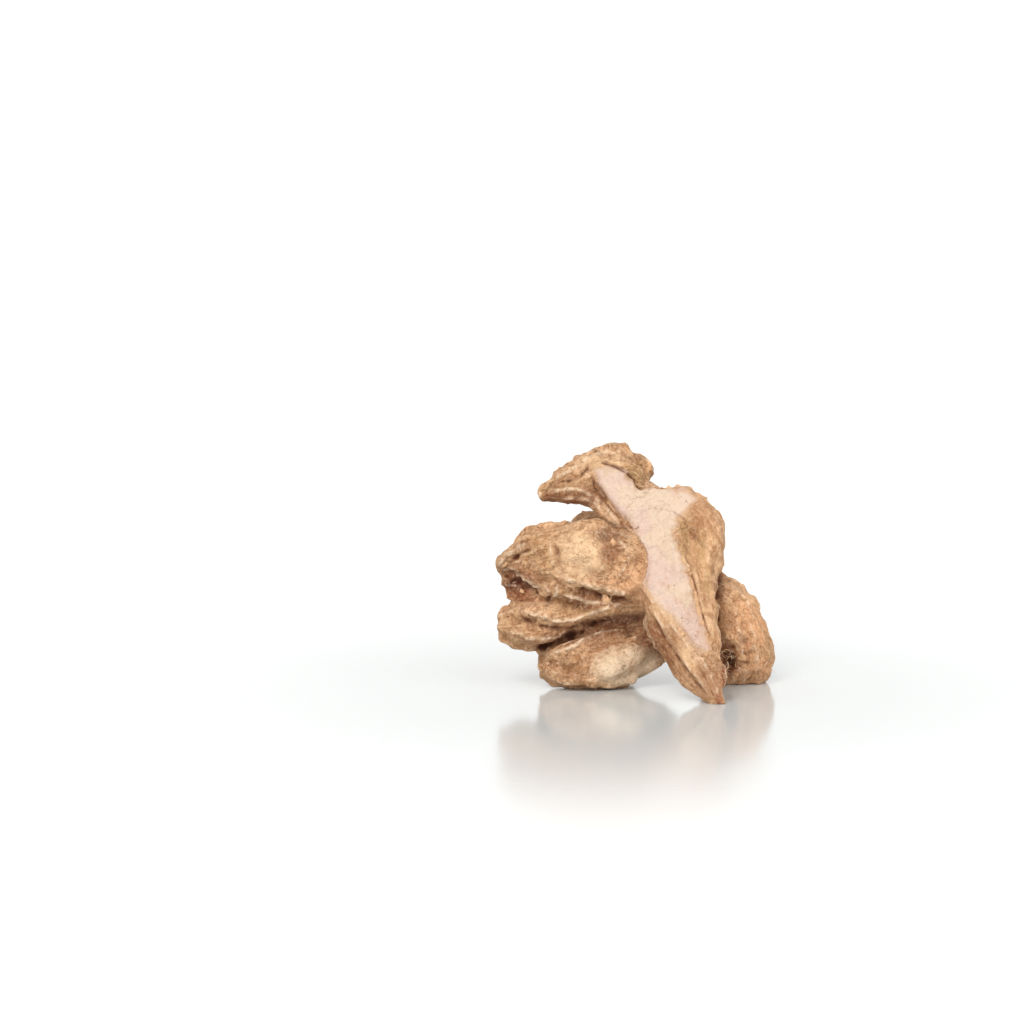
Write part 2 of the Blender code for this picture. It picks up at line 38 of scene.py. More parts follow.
# Each finger: stations of its middle line (x, y, z), half width seen from the front, half depth.
FINGERS = {
    "leg": [
        (12.5, 4.5, 39.0, 11.5, 8.5), (12.8, -2.2, 28.5, 11.4, 8.0),
        (15.2, -10.6, 17.0, 8.8, 6.8), (20.0, -18.4, 7.4, 5.6, 5.2),
        (24.6, -25.2, -1.6, 3.2, 3.0)],
    "arm": [
        (11.5, 4.0, 36.0, 9.0, 8.0), (7.0, 10.3, 47.0, 9.6, 8.0), (-1.6, 15.6, 54.6, 9.0, 7.5),
        (-9.5, 20.0, 61.0, 8.4, 6.5), (-13.0, 21.5, 64.0, 6.0, 5.5)],
    "head_left": [
        (1.0, 20.5, 62.0, 6.0, 6.5), (-9.0, 19.6, 62.6, 7.8, 6.5), (-19.0, 16.8, 59.6, 5.4, 5.5),
        (-29.2, 14.4, 57.6, 3.0, 3.6)],
    "head_top": [
        (-2.0, 20.0, 58.0, 8.0, 6.0), (-5.5, 21.5, 64.5, 7.6, 6.5), (-7.0, 21.5, 71.0, 5.6, 5.0)],
    "knob": [
        (-6.0, 20.0, 63.0, 5.0, 5.0), (-0.6, 24.0, 63.5, 5.6, 6.0), (2.4, 27.0, 60.5, 5.0, 5.0)],
    "shoulder": [
        (2.0, 12.0, 52.0, 7.6, 7.0), (10.5, 13.5, 52.8, 8.0, 7.0), (16.8, 13.0, 50.6, 7.6, 6.8),
        (20.2, 9.5, 42.5, 6.0, 7.0), (19.2, 3.0, 31.0, 4.8, 6.0), (19.8, -4.0, 21.0, 3.5, 4.0)],
    "upper_finger": [
        (10.0, 11.0, 32.0, 9.0, 9.0), (-5.0, 4.8, 36.8, 10.0, 9.4), (-17.0, 4.0, 39.4, 11.2, 9.8),
        (-27.5, 5.5, 39.0, 10.0, 8.8), (-35.5, 8.0, 36.8, 7.2, 7.0),
        (-40.8, 9.0, 36.0, 5.6, 5.5)],
    "middle_finger": [
        (8.0, 11.0, 24.0, 7.0, 8.0), (-9.0, 8.5, 24.0, 7.6, 8.5), (-22.0, 7.0, 21.0, 7.8, 8.8),
        (-33.0, 7.0, 18.4, 8.8, 8.4), (-40.8, 8.5, 18.0, 7.4, 6.4)],
    "lower_finger": [
        (14.0, 14.0, 18.0, 7.0, 8.0), (3.5, 9.5, 13.0, 7.2, 8.5), (-7.0, 5.0, 8.6, 8.6, 9.2),
        (-19.0, 3.8, 7.2, 8.2, 8.6), (-28.6, 5.5, 8.6, 6.6, 6.0)],
    "right_finger": [
        (12.0, 15.0, 34.0, 8.0, 8.0), (22.0, 15.5, 28.0, 7.6, 8.5), (28.8, 14.5, 17.6, 10.6, 9.0),
        (31.4, 13.5, 8.0, 10.2, 8.5), (31.6, 13.0, -2.0, 9.4, 7.0)],
    "rear_finger": [
        (8.0, 16.0, 34.0, 9.0, 9.0), (-2.0, 23.0, 41.0, 9.0, 9.0), (-10.0, 25.0, 44.0, 8.6, 8.0),
        (-18.0, 26.0, 45.0, 6.5, 6.0)],
    "rear_foot": [
        (6.0, 14.0, 30.0, 10.0, 9.0), (-3.0, 22.0, 17.0, 9.6, 9.0), (-8.5, 28.0, 7.0, 8.0, 8.0),
        (-10.0, 31.0, -1.8, 6.5, 6.0)],
    "floor_of_slit": [
        (-20.0, 7.0, 29.0, 5.0, 6.0), (-30.0, 8.0, 29.8, 4.6, 5.6), (-38.5, 9.0, 30.2, 3.6, 4.6)],
}
FACE_LIMBS = ("leg", "arm", "head_left", "head_top", "shoulder", "knob")

# Outline of the scraped face seen from the front (x, z), anticlockwise from its foot.
FACE_OUTLINE = [
    (22.2, 14.9), (21.6, 17.7), (19.3, 22.7), (17.6, 28.3), (16.4, 34.4), (15.2, 37.7),
    (12.8, 43.2), (11.9, 46.9), (12.8, 50.3), (16.4, 54.2), (18.8, 57.0), (16.4, 59.8),
    (12.8, 59.8), (6.9, 61.4), (3.3, 59.8), (0.9, 60.3), (-1.5, 62.6), (-2.7, 64.6),
    (-5.1, 66.3), (-8.5, 66.3), (-12.6, 65.2), (-11.4, 60.3), (-8.5, 56.4), (-5.1, 52.5),
    (-1.5, 49.7), (0.9, 45.3), (1.8, 42.0), (2.1, 37.7), (0.9, 34.4), (4.5, 29.9),
    (9.9, 24.9), (13.5, 20.5), (16.4, 16.7), (18.8, 15.0),
]

# Fine folds seen from the front: fingers, half width, height (a crease is negative), points (x, z).
UPPER = ("upper_finger",)
MIDDLE = ("middle_finger",)
LOWER = ("lower_finger",)
RIGHT = ("right_finger",)
LEG = ("leg", "shoulder", "upper_finger", "middle_finger")
HEAD = ("arm", "head_left", "head_top", "knob")
FOLDS = {
    "left_rim_of_face": (LEG, 0.4, 0.35, [
        (-0.6, 37.5), (0.4, 33.9), (6.4, 27.4), (12.2, 20.8), (16.0, 15.8), (20.5, 10.0)]),
    "leg_crack": (LEG, 0.4, -0.5, [
        (1.0, 28.6), (4.6, 24.0), (8.4, 18.6), (12.6, 12.4), (17.6, 6.2), (21.6, 2.0)]),
    "leg_crest": (LEG, 0.4, 0.35, [
        (2.0, 29.2), (5.6, 24.6), (9.4, 19.2), (13.6, 13.0), (18.6, 6.8), (22.4, 2.6)]),
    "leg_low_line": (LEG, 0.35, -0.35, [
        (4.0, 21.0), (7.4, 15.6), (11.4, 10.0), (16.4, 4.8), (20.0, 1.6)]),
    "leg_tip_ridge": (("leg",), 0.4, 0.3, [(18.7, 14.4), (22.3, 7.2), (24.7, 2.2)]),
    "leg_tip_crease": (("leg",), 0.35, -0.35, [(17.2, 13.2), (20.6, 6.8), (23.2, 1.6)]),
    "right_crack_of_face": (LEG, 0.3, -0.5, [
        (14.4, 41.5), (16.6, 37.0), (18.3, 31.0), (20.0, 23.5), (23.0, 17.2)]),
    "right_rim_of_face": (LEG, 0.35, 0.2, [
        (15.4, 41.5), (17.4, 37.0), (19.1, 31.0), (20.8, 23.5), (23.8, 17.2)]),
    "shoulder_line_1": (LEG, 0.4, 0.15, [
        (21.2, 51.0), (20.6, 45.0), (22.0, 39.0), (20.8, 32.0), (21.0, 26.0)]),
    "shoulder_line_2": (LEG, 0.35, -0.15, [
        (17.0, 46.5), (18.8, 43.0), (18.2, 38.0), (20.0, 31.0), (20.4, 24.0)]),
    "arm_crack": (HEAD, 0.35, -0.35, [(-13.3, 65.5), (-11.3, 58.5), (-7.0, 53.2), (-1.8, 49.6)]),
    "arm_ridge": (HEAD, 0.6, 0.6, [
        (-27.0, 58.8), (-20.4, 59.4), (-14.5, 58.4), (-10.0, 54.8), (-6.2, 51.0), (-3.4, 47.0)]),
    "arm_rim": (HEAD, 0.5, 0.5, [
        (-24.6, 56.5), (-19.2, 56.8), (-13.3, 55.8), (-9.0, 52.0), (-5.8, 48.8), (-5.0, 45.5)]),
    "crumbly_border": (HEAD + ("leg", "shoulder"), 0.5, -0.8, [
        (-11.5, 66.9), (-7.5, 66.5), (-3.6, 65.0), (-0.6, 62.9), (1.5, 60.4), (4.5, 60.2)]),
    "arm_branch_crack": (HEAD + ("leg",), 0.25, -0.5, [(-2.4, 49.4), (-0.6, 48.4), (1.6, 49.6)]),
    "head_crease": (HEAD, 0.5, -0.6, [(-26.9, 60.4), (-20.4, 61.8), (-16.8, 63.6), (-13.3, 66.5)]),
    "head_rim": (HEAD, 0.6, 0.5, [
        (-28.1, 60.0), (-22.8, 63.3), (-18.0, 65.8), (-13.0, 68.8), (-7.0, 70.0), (-2.0, 67.5)]),
    "upper_ledge": (UPPER, 0.6, 1.0, [
        (-24.5, 37.0), (-21.0, 35.3), (-14.5, 33.0), (-9.7, 31.9), (-5.0, 30.6), (0.9, 29.2)]),
    "under_ledge": (UPPER + MIDDLE, 0.5, -0.8, [
        (-19.0, 32.6), (-13.3, 30.4), (-8.5, 29.2), (-2.6, 27.6), (0.9, 26.4)]),
    "lobe_fold": (UPPER + MIDDLE, 0.5, 0.6, [
        (-24.0, 30.0), (-19.0, 29.0), (-14.0, 27.6), (-8.0, 27.0), (-2.0, 25.4)]),
    "upper_slit": (UPPER + MIDDLE, 0.7, -1.2, [
        (-42.0, 34.2), (-38.2, 33.5), (-33.5, 31.1), (-27.7, 28.7)]),
    "upper_crease": (UPPER, 0.8, -0.35, [
        (-24.6, 48.0), (-23.9, 45.0), (-23.1, 42.5), (-22.8, 37.7), (-20.4, 34.6)]),
    "flake_rim": (UPPER, 0.5, 1.0, [(-41.6, 36.0), (-38.8, 39.4), (-35.6, 42.6), (-32.0, 45.2)]),
    "lip_over_slit": (UPPER, 0.5, 0.8, [
        (-41.0, 35.4), (-37.6, 35.6), (-33.0, 34.0), (-28.6, 31.8), (-25.0, 30.0)]),
    "bulge_outline": (UPPER, 0.5, 0.4, [
        (-25.6, 47.0), (-25.2, 43.0), (-24.6, 38.6), (-21.6, 35.6)]),
    "lobe_crumple_1": (UPPER + MIDDLE, 0.5, 0.7, [(-27.6, 33.6), (-26.4, 30.6), (-27.4, 28.0)]),
    "lobe_crumple_2": (UPPER + MIDDLE, 0.5, 0.7, [
        (-24.0, 33.0), (-23.6, 30.4), (-25.4, 27.6), (-24.6, 26.2)]),
    "lobe_hollow": (UPPER + MIDDLE, 1.0, -0.9, [(-26.4, 28.8), (-25.6, 27.6), (-24.8, 26.8)]),
    "crack_by_the_flake": (UPPER, 0.6, -1.3, [
        (-40.5, 34.8), (-37.5, 38.0), (-34.5, 41.2), (-31.0, 43.4)]),
    "dip_arc_1": (UPPER, 0.4, 0.25, [
        (-6.4, 47.0), (-3.6, 44.4), (-2.6, 40.6), (-4.6, 36.6), (-9.0, 34.8)]),
    "dip_arc_2": (UPPER, 0.4, 0.2, [
        (-3.8, 46.6), (-1.4, 43.6), (-0.6, 39.6), (-2.6, 35.2), (-7.0, 33.2)]),
    "middle_fold": (MIDDLE + UPPER, 0.6, 0.8, [
        (-38.6, 25.9), (-34.0, 24.3), (-28.7, 23.1), (-22.8, 21.9), (-18.0, 22.3), (-13.9, 23.9),
        (-8.5, 25.7), (-2.6, 26.6)]),
    "middle_crease": (MIDDLE, 0.5, -0.5, [
        (-35.6, 22.6), (-32.0, 21.0), (-28.7, 19.9), (-22.8, 18.9), (-18.0, 19.1),
        (-13.9, 20.7)]),
    "middle_wrinkle": (MIDDLE, 0.5, 0.4, [
        (-38.0, 18.0), (-31.0, 16.4), (-24.0, 15.8), (-17.0, 17.6)]),
    "lower_slit": (MIDDLE + LOWER, 0.9, -1.5, [
        (-30.0, 11.4), (-28.1, 12.1), (-21.6, 15.2), (-15.7, 18.6), (-10.9, 21.0), (-5.0, 22.5)]),
    "lower_ridge": (LOWER, 0.5, 0.6, [
        (-28.9, 9.8), (-20.4, 13.2), (-14.5, 16.2), (-8.5, 18.0), (-2.0, 18.6)]),
    "edge_of_dusty_patch": (LOWER, 0.45, 0.25, [
        (-12.0, 1.8), (-13.4, 6.0), (-11.4, 10.4), (-6.4, 13.4), (0.0, 13.8), (5.0, 12.0)]),
    "right_ridge_1": (RIGHT, 0.4, 0.45, [
        (30.2, 22.5), (30.9, 19.2), (31.8, 14.6), (32.1, 11.6), (33.3, 6.2), (35.5, 3.4)]),
    "right_ridge_2": (RIGHT, 0.4, 0.4, [(34.6, 20.0), (35.6, 16.3), (36.5, 10.7), (36.7, 4.0)]),
    "right_hollow": (RIGHT, 2.2, -1.0, [(28.2, 14.0), (28.4, 11.0), (28.6, 8.0), (28.2, 4.0)]),
    "right_hollow_rim": (RIGHT, 0.4, 0.3, [(25.8, 14.6), (28.0, 15.0), (30.4, 14.2)]),
    "right_ridge_3": (RIGHT, 0.35, 0.3, [(31.6, 20.5), (32.6, 16.0), (32.2, 10.0), (33.4, 3.0)]),
    "right_ridge_4": (RIGHT, 0.35, 0.3, [(37.0, 20.5), (37.6, 15.0), (37.2, 9.0), (38.4, 3.0)]),
    "right_ridge_5": (RIGHT, 0.35, 0.3, [(27.0, 17.5), (28.2, 13.0), (27.6, 8.0), (28.4, 3.0)]),
    "right_border": (RIGHT, 0.5, -0.6, [
        (26.8, 34.8), (25.3, 30.0), (24.7, 24.4), (25.4, 16.0), (26.4, 9.0)]),
}

# Rough, crumpled places on the front: middle (x, z), half sizes and strength.
ROUGH_PLACES = {
    "head": ((-9.0, 66.0), (12.0, 5.0), 0.6),
    "right_of_head": ((1.0, 62.0), (5.0, 4.0), 0.7),
    "end_of_upper_finger": ((-34.0, 38.0), (7.0, 8.0), 1.0),
    "ledge": ((-12.0, 30.5), (13.0, 4.5), 0.8),
    "dip": ((-6.0, 42.0), (5.0, 5.0), 0.6),
    "middle_finger": ((-30.0, 20.0), (10.0, 7.0), 0.4),
    "left_of_lower_finger": ((-20.0, 7.0), (9.0, 6.0), 0.6),
    "right_finger_low": ((33.0, 9.0), (10.0, 10.0), 0.6),
}
# Where hair-like fibres stand out of the skin, given in the same way.
HAIRY_PLACES = {
    "right_finger_low": ((33.0, 7.0), (10.0, 9.0), 1.0),
    "hollow": ((27.0, 9.5), (4.0, 5.0), 1.0),
    "foot_of_lower_finger": ((-8.0, 2.5), (14.0, 3.0), 0.6),
    "under_the_ledge": ((-8.0, 27.5), (12.0, 3.0), 0.3),
}
# Where curly rootlets lie on the skin.
ROOTLET_PLACES = {
    "hollow": ((28.4, 9.0), (4.0, 6.0), 1.0),
    "right_finger_low": ((34.0, 5.0), (6.0, 3.0), 0.35),
}
# Bands of the leg and shoulder that are smoother than the rest: middle line (x, z) and half width.
SMOOTH_BANDS = {
    "flank_of_leg": ([(1.0, 30.0), (5.5, 23.5), (10.0, 16.5), (15.0, 10.0), (22.0, 3.0)], 6.0),
    "shoulder": ([(16.0, 57.0), (19.5, 50.0), (21.0, 42.0), (20.6, 33.0), (22.0, 22.0)], 6.5),
}
# Places where the scraped face passes softly into the skin.
SOFT_BORDERS = {
    "shoulder": ((13.0, 50.0), (6.0, 8.0), 1.0),
    "foot_of_face": ((21.0, 15.0), (4.0, 3.5), 0.6),
}
# How much wider the border becomes there.
SOFT_WIDTH = 3.0
# Middles (x, z) from which fine fibres of the skin run out like rays.
RAY_MIDDLES = ((-16.5, 41.0), (-3.2, 7.4))

# Patches of colour on the front, some of them painted shade: tint, middle (x, z), half sizes and
# strength.
PATCHES = {
    "bulge_of_upper_finger": ("pale", (-16.5, 42.0), (8.0, 8.5), 0.8),
    "left_of_bulge": ("olive", (-28.5, 40.5), (5.5, 6.5), 0.35),
    "lobe": ("brown", (-13.0, 28.0), (11.0, 3.6), 0.9),
    "end_of_upper_finger": ("red", (-34.0, 34.5), (6.0, 4.0), 0.6),
    "dip_of_upper_finger": ("brown", (-7.6, 42.5), (3.6, 4.2), 0.7),
    "right_of_upper_finger": ("orange", (-3.0, 34.5), (6.0, 5.0), 0.7),
    "under_the_ledge": ("olive", (-14.0, 28.0), (12.0, 4.6), 0.7),
    "low_side_of_middle_finger": ("brown", (-24.0, 16.0), (9.0, 3.5), 0.6),
    "dusty_patch": ("dust", (-2.6, 7.2), (10.0, 6.4), 0.9),
    "above_dusty_patch": ("brown", (-9.0, 14.6), (8.0, 3.0), 0.5),
    # Painted shade under the arm.
    "shade_under_the_arm": ("dark", (-7.5, 47.8), (6.5, 2.6), 0.5),
    # Painted shade in the slit of the upper finger.
    "shade_in_upper_slit": ("dark", (-34.0, 31.4), (6.0, 1.8), 0.6),
    "inside_the_slit": ("red", (-35.5, 30.0), (5.0, 4.0), 0.7),
    # Painted shade in the gaps by the leg and under the middle finger.
    "shade_in_gap_by_the_leg": ("dark", (-3.0, 21.6), (8.0, 2.2), 0.6),
    "shade_under_middle_finger": ("dark", (-18.0, 16.4), (9.0, 1.6), 0.4),
    "lip_under_slit": ("red", (-34.0, 27.6), (6.0, 1.8), 0.6),
    "left_of_lower_finger": ("brown", (-19.0, 6.0), (6.0, 3.0), 0.4),
    "top_of_lower_finger": ("brown", (-8.0, 19.0), (9.0, 3.0), 0.9),
    "top_of_right_finger": ("pale", (33.0, 27.0), (8.0, 6.0), 0.15),
    "red_on_right_finger": ("red", (33.8, 12.0), (2.2, 4.0), 0.7),
    "red_at_right_foot": ("red", (38.5, 6.0), (2.4, 3.0), 0.6),
    # The hollow of the right finger: reddish colour, and painted shade that deepens towards its
    # middle.
    "hollow_of_right_finger": ("red", (28.4, 8.8), (3.6, 5.4), 1.0),
    "shade_deep_in_hollow": ("rust", (28.0, 8.0), (3.2, 4.8), 1.0),
    "shade_by_shoulder": ("dark", (25.6, 30.0), (1.8, 5.0), 0.55),
    "speckled_right_side": ("olive", (38.5, 13.0), (3.0, 8.0), 0.7),
    "middle_spot": ("dark", (-31.4, 21.4), (2.6, 0.8), 0.8),
    "top_of_shoulder": ("brown", (19.0, 52.0), (4.0, 4.5), 0.45),
    "streak_on_shoulder": ("olive", (19.5, 43.0), (2.0, 6.0), 0.6),
    "right_of_shoulder": ("olive", (21.5, 34.0), (1.6, 5.0), 0.5),
    "edge_of_shoulder": ("olive", (15.0, 47.0), (2.6, 8.0), 0.5),
    "band_beside_face": ("pale", (8.0, 24.0), (3.6, 5.0), 0.8),
    "band_beside_foot": ("pale", (15.0, 14.0), (3.0, 4.0), 0.6),
    "end_of_leg": ("red", (24.4, 2.0), (2.0, 3.0), 0.6),
    # Painted shade under the end of the head.
    "shade_under_end_of_head": ("brown", (-19.0, 57.0), (10.0, 4.0), 1.0),
    "middle_of_right_finger": ("orange", (33.0, 17.0), (9.0, 9.0), 0.8),
    "low_right_finger": ("orange", (34.0, 6.0), (9.0, 7.0), 0.6),
    "flank_of_leg": ("brown", (6.0, 14.0), (7.0, 12.0), 0.9),
    "shoulder_spot": ("brown", (17.6, 47.0), (1.8, 3.0), 0.7),
    "leg_tip": ("brown", (21.0, 7.5), (5.0, 6.0), 0.5),
    "head": ("pale", (-10.0, 67.0), (9.0, 4.0), 0.5),
    "right_of_head": ("olive", (0.0, 63.0), (5.0, 5.0), 0.7),
    "end_of_head": ("olive", (-22.0, 60.0), (9.0, 4.0), 0.5),
}
TINTS = ("pale", "olive", "red", "brown", "orange", "dust", "dark", "rust")

# Size of the skin's faces, rounds that smooth the solid's facets away, and rounds of averaging
# that set the small, middle and broad scale of the relief.
SKIN_VOXEL = 0.525
FACET_SMOOTHING = 6
FINE_ROUNDS = 5
MIDDLE_ROUNDS = 30
LEVEL_ROUNDS = 45
BROAD_ROUNDS = 150
# A finger's half width, by which the angle round it becomes a length.
GIRTH = 9.0
SEED = 7.0
# How many rays run out of a middle, and how soon they break up.
RAY_COUNT = 4.5
RAY_BREAKS = 0.35
# Heights of the layers of the relief, in millimetres.
RELIEF = {
    "long_wrinkles": 0.26,
    "short_wrinkles": 0.13,
    "coarse_crumple": 0.65,
    "fine_crumple": 0.20,
    "soft_bumps": 0.28,
    "fine_bumps": 0.12,
    "lip_of_face": 0.35,
    "waves_of_face": 0.15,
    "grain_of_face": 0.05,
}
# How much of the relief the scraped face and the smooth bands lose.
FACE_CALM = 0.93
BAND_CALM = 0.75
BAND_SMOOTHING = 0.85
# Shares of a patch's size at which it begins and ends to fade.
PATCH_FADE = 0.45
DUST_FADE = 0.65
PATCH_END = 1.25
# Share of a fold's way over which it fades at each end, and its least and added strength.
FOLD_END = 0.2
FAINT_FOLD = 0.35
ADDED_FOLD = 0.9
# Least half width of the painted highlight or painted shade line along a fold, and the height at
# which it shows in full.
FOLD_LINE = 0.32
BOLD_FOLD = 0.7
BACK_TINTS = 0.6
VIEW_ELEVATION = 8.0
PIXEL_MM = 0.30
FRAME_PIXELS = 1024
VIEW_MIDDLE = (-37.5, 0.0, 53.2)
CAMERA_DISTANCE = 1.5
SENSOR = 36.0
ROOM_LIGHT = 0.62
HORIZON_LIGHT = 1.25
# Heights in the sky, as shares, between which the horizon's glow turns into the room's light.
GLOW_LOW = 0.2
GLOW_HIGH = 0.7
# Distant lamps: strength, then spread, azimuth and elevation in degrees, and colour.
LAMPS = {
    "key_light": (1.7, 30.0, -26.0, 46.0, (1.0, 0.985, 0.965)),
    "fill_light": (0.8, 60.0, 50.0, 28.0, (1.0, 1.0, 1.0)),
}
FLOOR_SIZE = 8.0
FLAKE_THICKNESS = 0.04
STRANDS = 3
STRAND_RADIUS = 0.022
ROOTLET_RADIUS = 0.045
# Distances from the root, in millimetres, between which the floor turns from polished to dull and
# its painted shade fades out.
FLOOR_POLISH = (50.0, 260.0)


def smooth_curve(stations, count):
    """Catmull-Rom curve through the stations, as count rows."""
    points = np.array(stations, dtype=float)
    points = np.vstack([2 * points[0] - points[1], points, 2 * points[-1] - points[-2]])
    spans = len(points) - 3
    position = np.linspace(0, spans - 1e-9, count)
    index = position.astype(int)
    step = (position - index)[:, None]
    a, b, c, d = (points[index + k] for k in range(4))
    return 0.5 * (2 * b + (c - a) * step + (2 * a - 5 * b + 4 * c - d) * step ** 2
                  + (3 * b - a - 3 * c + d) * step ** 3)


def smoothstep(low, high, value):
    ramp = np.clip((value - low) / (high - low), 0, 1)
    return ramp * ramp * (3 - 2 * ramp)


def limb_coordinates(place):
    """For each point: the nearest finger, the way along it in mm and the angle round it."""
    best = np.full(len(place), 1e9)
    owner = np.zeros(len(place), dtype=int)
    way = np.zeros(len(place))
    angle = np.zeros(len(place))
    everyone = np.arange(len(place))
    for number, stations in enumerate(FINGERS.values()):
        line = smooth_curve(stations, 40)
        centre = line[:, :3]
        steps = np.concatenate([[0], np.cumsum(np.linalg.norm(np.diff(centre, axis=0), axis=1))])
        gap = place[:, None, :] - centre[None, :, :]
        share = np.sqrt((gap ** 2).sum(axis=2)) / np.maximum(line[None, :, 3:5].mean(axis=2), 2.0)
        nearest = share.argmin(axis=1)
        score = share[everyone, nearest]
        along = np.gradient(centre, axis=0)
        along /= np.linalg.norm(along, axis=1)[:, None]
        tangent = along[nearest]
        depth = np.array([0.0, 1.0, 0.0]) - tangent * tangent[:, 1:2]
        depth /= np.linalg.norm(depth, axis=1)[:, None]
        side = np.cross(tangent, depth)
        offset = gap[everyone, nearest]
        turn = np.arctan2((offset * depth).sum(axis=1), (offset * side).sum(axis=1))
        run = steps[nearest] + (offset * tangent).sum(axis=1)
        closer = score < best
        best[closer] = score[closer]
        owner[closer] = number
        way[closer] = run[closer]
        angle[closer] = turn[closer]
    return owner, way, angle


def path_distance(flat, points):
    """Distance of front view points to a smooth path, and the share of the way along it."""
    line = smooth_curve(points, 60)
    start = line[:-1]
    run = line[1:] - start
    offset = flat[:, None, :] - start[None]
    share = np.clip((offset * run[None]).sum(axis=2) / (run ** 2).sum(axis=1)[None], 0, 1)
    gap = np.sqrt(((offset - share[..., None] * run[None]) ** 2).sum(axis=2))
    nearest = gap.argmin(axis=1)
    rows = np.arange(len(flat))
    return gap[rows, nearest], (nearest + share[rows, nearest]) / len(run)


def inside_distance(flat, outline):
    """Distance to a closed outline, positive inside."""
    ring = np.array(outline + outline[:1], dtype=float)
    start, run = ring[:-1], np.diff(ring, axis=0)
    offset = flat[:, None, :] - start[None]
    share = np.clip((offset * run[None]).sum(axis=2) / (run ** 2).sum(axis=1)[None], 0, 1)
    gap = np.sqrt(((offset - share[..., None] * run[None]) ** 2).sum(axis=2)).min(axis=1)
    height = flat[:, 1:2]
    crosses = (start[None, :, 1] > height) != (ring[None, 1:, 1] > height)
    rise = np.where(np.abs(run[:, 1]) < 1e-9, 1e-9, run[:, 1])
    crossing = start[None, :, 0] + (height - start[None, :, 1]) * (run[:, 0] / rise)[None]
    odd = (crosses & (flat[:, :1] < crossing)).sum(axis=1) % 2 == 1
    return np.where(odd, gap, -gap)


def noise_at(points, octaves=1):
    """Smooth noise, with finer layers added when there is more than one octave."""
    if octaves == 1:
        return np.array([noise.noise(Vector(p)) for p in points])
    return np.array([noise.fractal(Vector(p), 1.0, 2.0, octaves) for p in points])


def points_of(mesh):
    """Vertex places and normals, in millimetres."""
    place = np.empty(len(mesh.vertices) * 3)
    normal = np.empty(len(mesh.vertices) * 3)
    mesh.vertices.foreach_get("co", place)
    mesh.vertices.foreach_get("normal", normal)
    return place.reshape(-1, 3) / MM, normal.reshape(-1, 3)


def move_points(mesh, place):
    mesh.vertices.foreach_set("co", (place * MM).ravel())
    mesh.update()


def edges_of(mesh):
    pairs = np.empty(len(mesh.edges) * 2, dtype=np.int64)
    mesh.edges.foreach_get("vertices", pairs)
    return pairs.reshape(-1, 2)


def spread(values, edges, rounds):
    """Averages values with those of the neighbouring points, again and again."""
    first, second = edges[:, 0], edges[:, 1]
    count = np.bincount(edges.ravel(), minlength=len(values)).astype(float)
    table = values if values.ndim == 2 else values[:, None]
    for _ in range(rounds):
        total = np.stack([np.bincount(first, table[second, k], len(table))
                          + np.bincount(second, table[first, k], len(table))
                          for k in range(table.shape[1])], axis=1)
        table = 0.5 * table + 0.5 * total / count[:, None]
    return table if values.ndim == 2 else table[:, 0]


def with_modifier(item, kind, **values):
    """Adds one modifier, takes the evaluated mesh and drops the modifier again."""
    modifier = item.modifiers.new(kind, kind)
    for key, value in values.items():
        setattr(modifier, key, value)
    graph = bpy.context.evaluated_depsgraph_get()
    mesh = bpy.data.meshes.new_from_object(item.evaluated_get(graph), depsgraph=graph)
    item.modifiers.clear()
    old = item.data
    item.data = mesh
    bpy.data.meshes.remove(old)


def fine_copy(node):
    """The node's closed surface, remeshed in small even faces with its facets smoothed away."""
    work = bmesh.new()
    work.from_mesh(node.data)
    bmesh.ops.remove_doubles(work, verts=work.verts[:], dist=1e-6)
    mesh = bpy.data.meshes.new("ginger_skin")
    work.to_mesh(mesh)
    work.free()
    skin = bpy.data.objects.new("ginger_skin", mesh)
    bpy.context.scene.collection.objects.link(skin)
    with_modifier(skin, "REMESH", mode="VOXEL", voxel_size=SKIN_VOXEL * MM)
    with_modifier(skin, "SMOOTH", factor=0.5, iterations=FACET_SMOOTHING)
    return skin


def keep_attribute(mesh, name, values):
    """Stores one number, or one vector, for each point."""
    kind, part = ("FLOAT", "value") if values.ndim == 1 else ("FLOAT_VECTOR", "vector")
    layer = mesh.attributes.new(name, kind, "POINT")
    layer.data.foreach_set(part, values.astype(np.float32).ravel())


def on_limbs(owner, limbs):
    """True for the points that belong to one of the fingers."""
    names = list(FINGERS)
    return np.isin(owner, [names.index(name) for name in limbs])


def fold_lift(flat, owner, facing):
    """Height of the sharp folds, which wander a little, with the painted highlight along their
    crests and the painted shade in their cracks.
    """
    lift, crests, cracks = np.zeros((3, len(flat)))

    def wander(size, shift):
        return np.stack([noise_at(np.column_stack([flat / size, np.full(len(flat), shift + k)]))
                         for k in (0.0, 9.0)], axis=1)

    bent = flat + 0.5 * wander(7.0, 3.0) + 0.15 * wander(1.8, 33.0)
    blotches = noise_at(np.column_stack([flat / 2.6, owner * 5.0]))
    strength = FAINT_FOLD + ADDED_FOLD * smoothstep(-0.25, 0.3, blotches)
    for limbs, width, height, points in FOLDS.values():
        member = on_limbs(owner, limbs) & (facing > 0)
        gap, share = path_distance(bent[member], points)
        ends = smoothstep(0.0, FOLD_END, share) * smoothstep(0.0, FOLD_END, 1 - share)
        fade = ends * (facing * strength)[member]
        lift[member] += height * np.exp(-(gap / width) ** 1.4) * fade
        bold = min(abs(height) / BOLD_FOLD, 1.0)
        line = bold * np.exp(-(gap / max(width, FOLD_LINE)) ** 2) * fade
        shown = crests if height > 0 else cracks
        shown[member] = np.maximum(shown[member], line)
    return lift, crests, cracks


def in_place(flat, middle, half, inner, outer):
    """1 in a place, fading to 0 between two shares of its half sizes."""
    away = np.sqrt((((flat - middle) / half) ** 2).sum(axis=1))
    return 1 - smoothstep(inner, outer, away)


def amount_in(flat, places, inner, outer):
    """How much each point lies in any of the places."""
    amount = np.zeros(len(flat))
    for middle, half, strength in places.values():
        amount = np.maximum(amount, strength * in_place(flat, middle, half, inner, outer))
    return amount


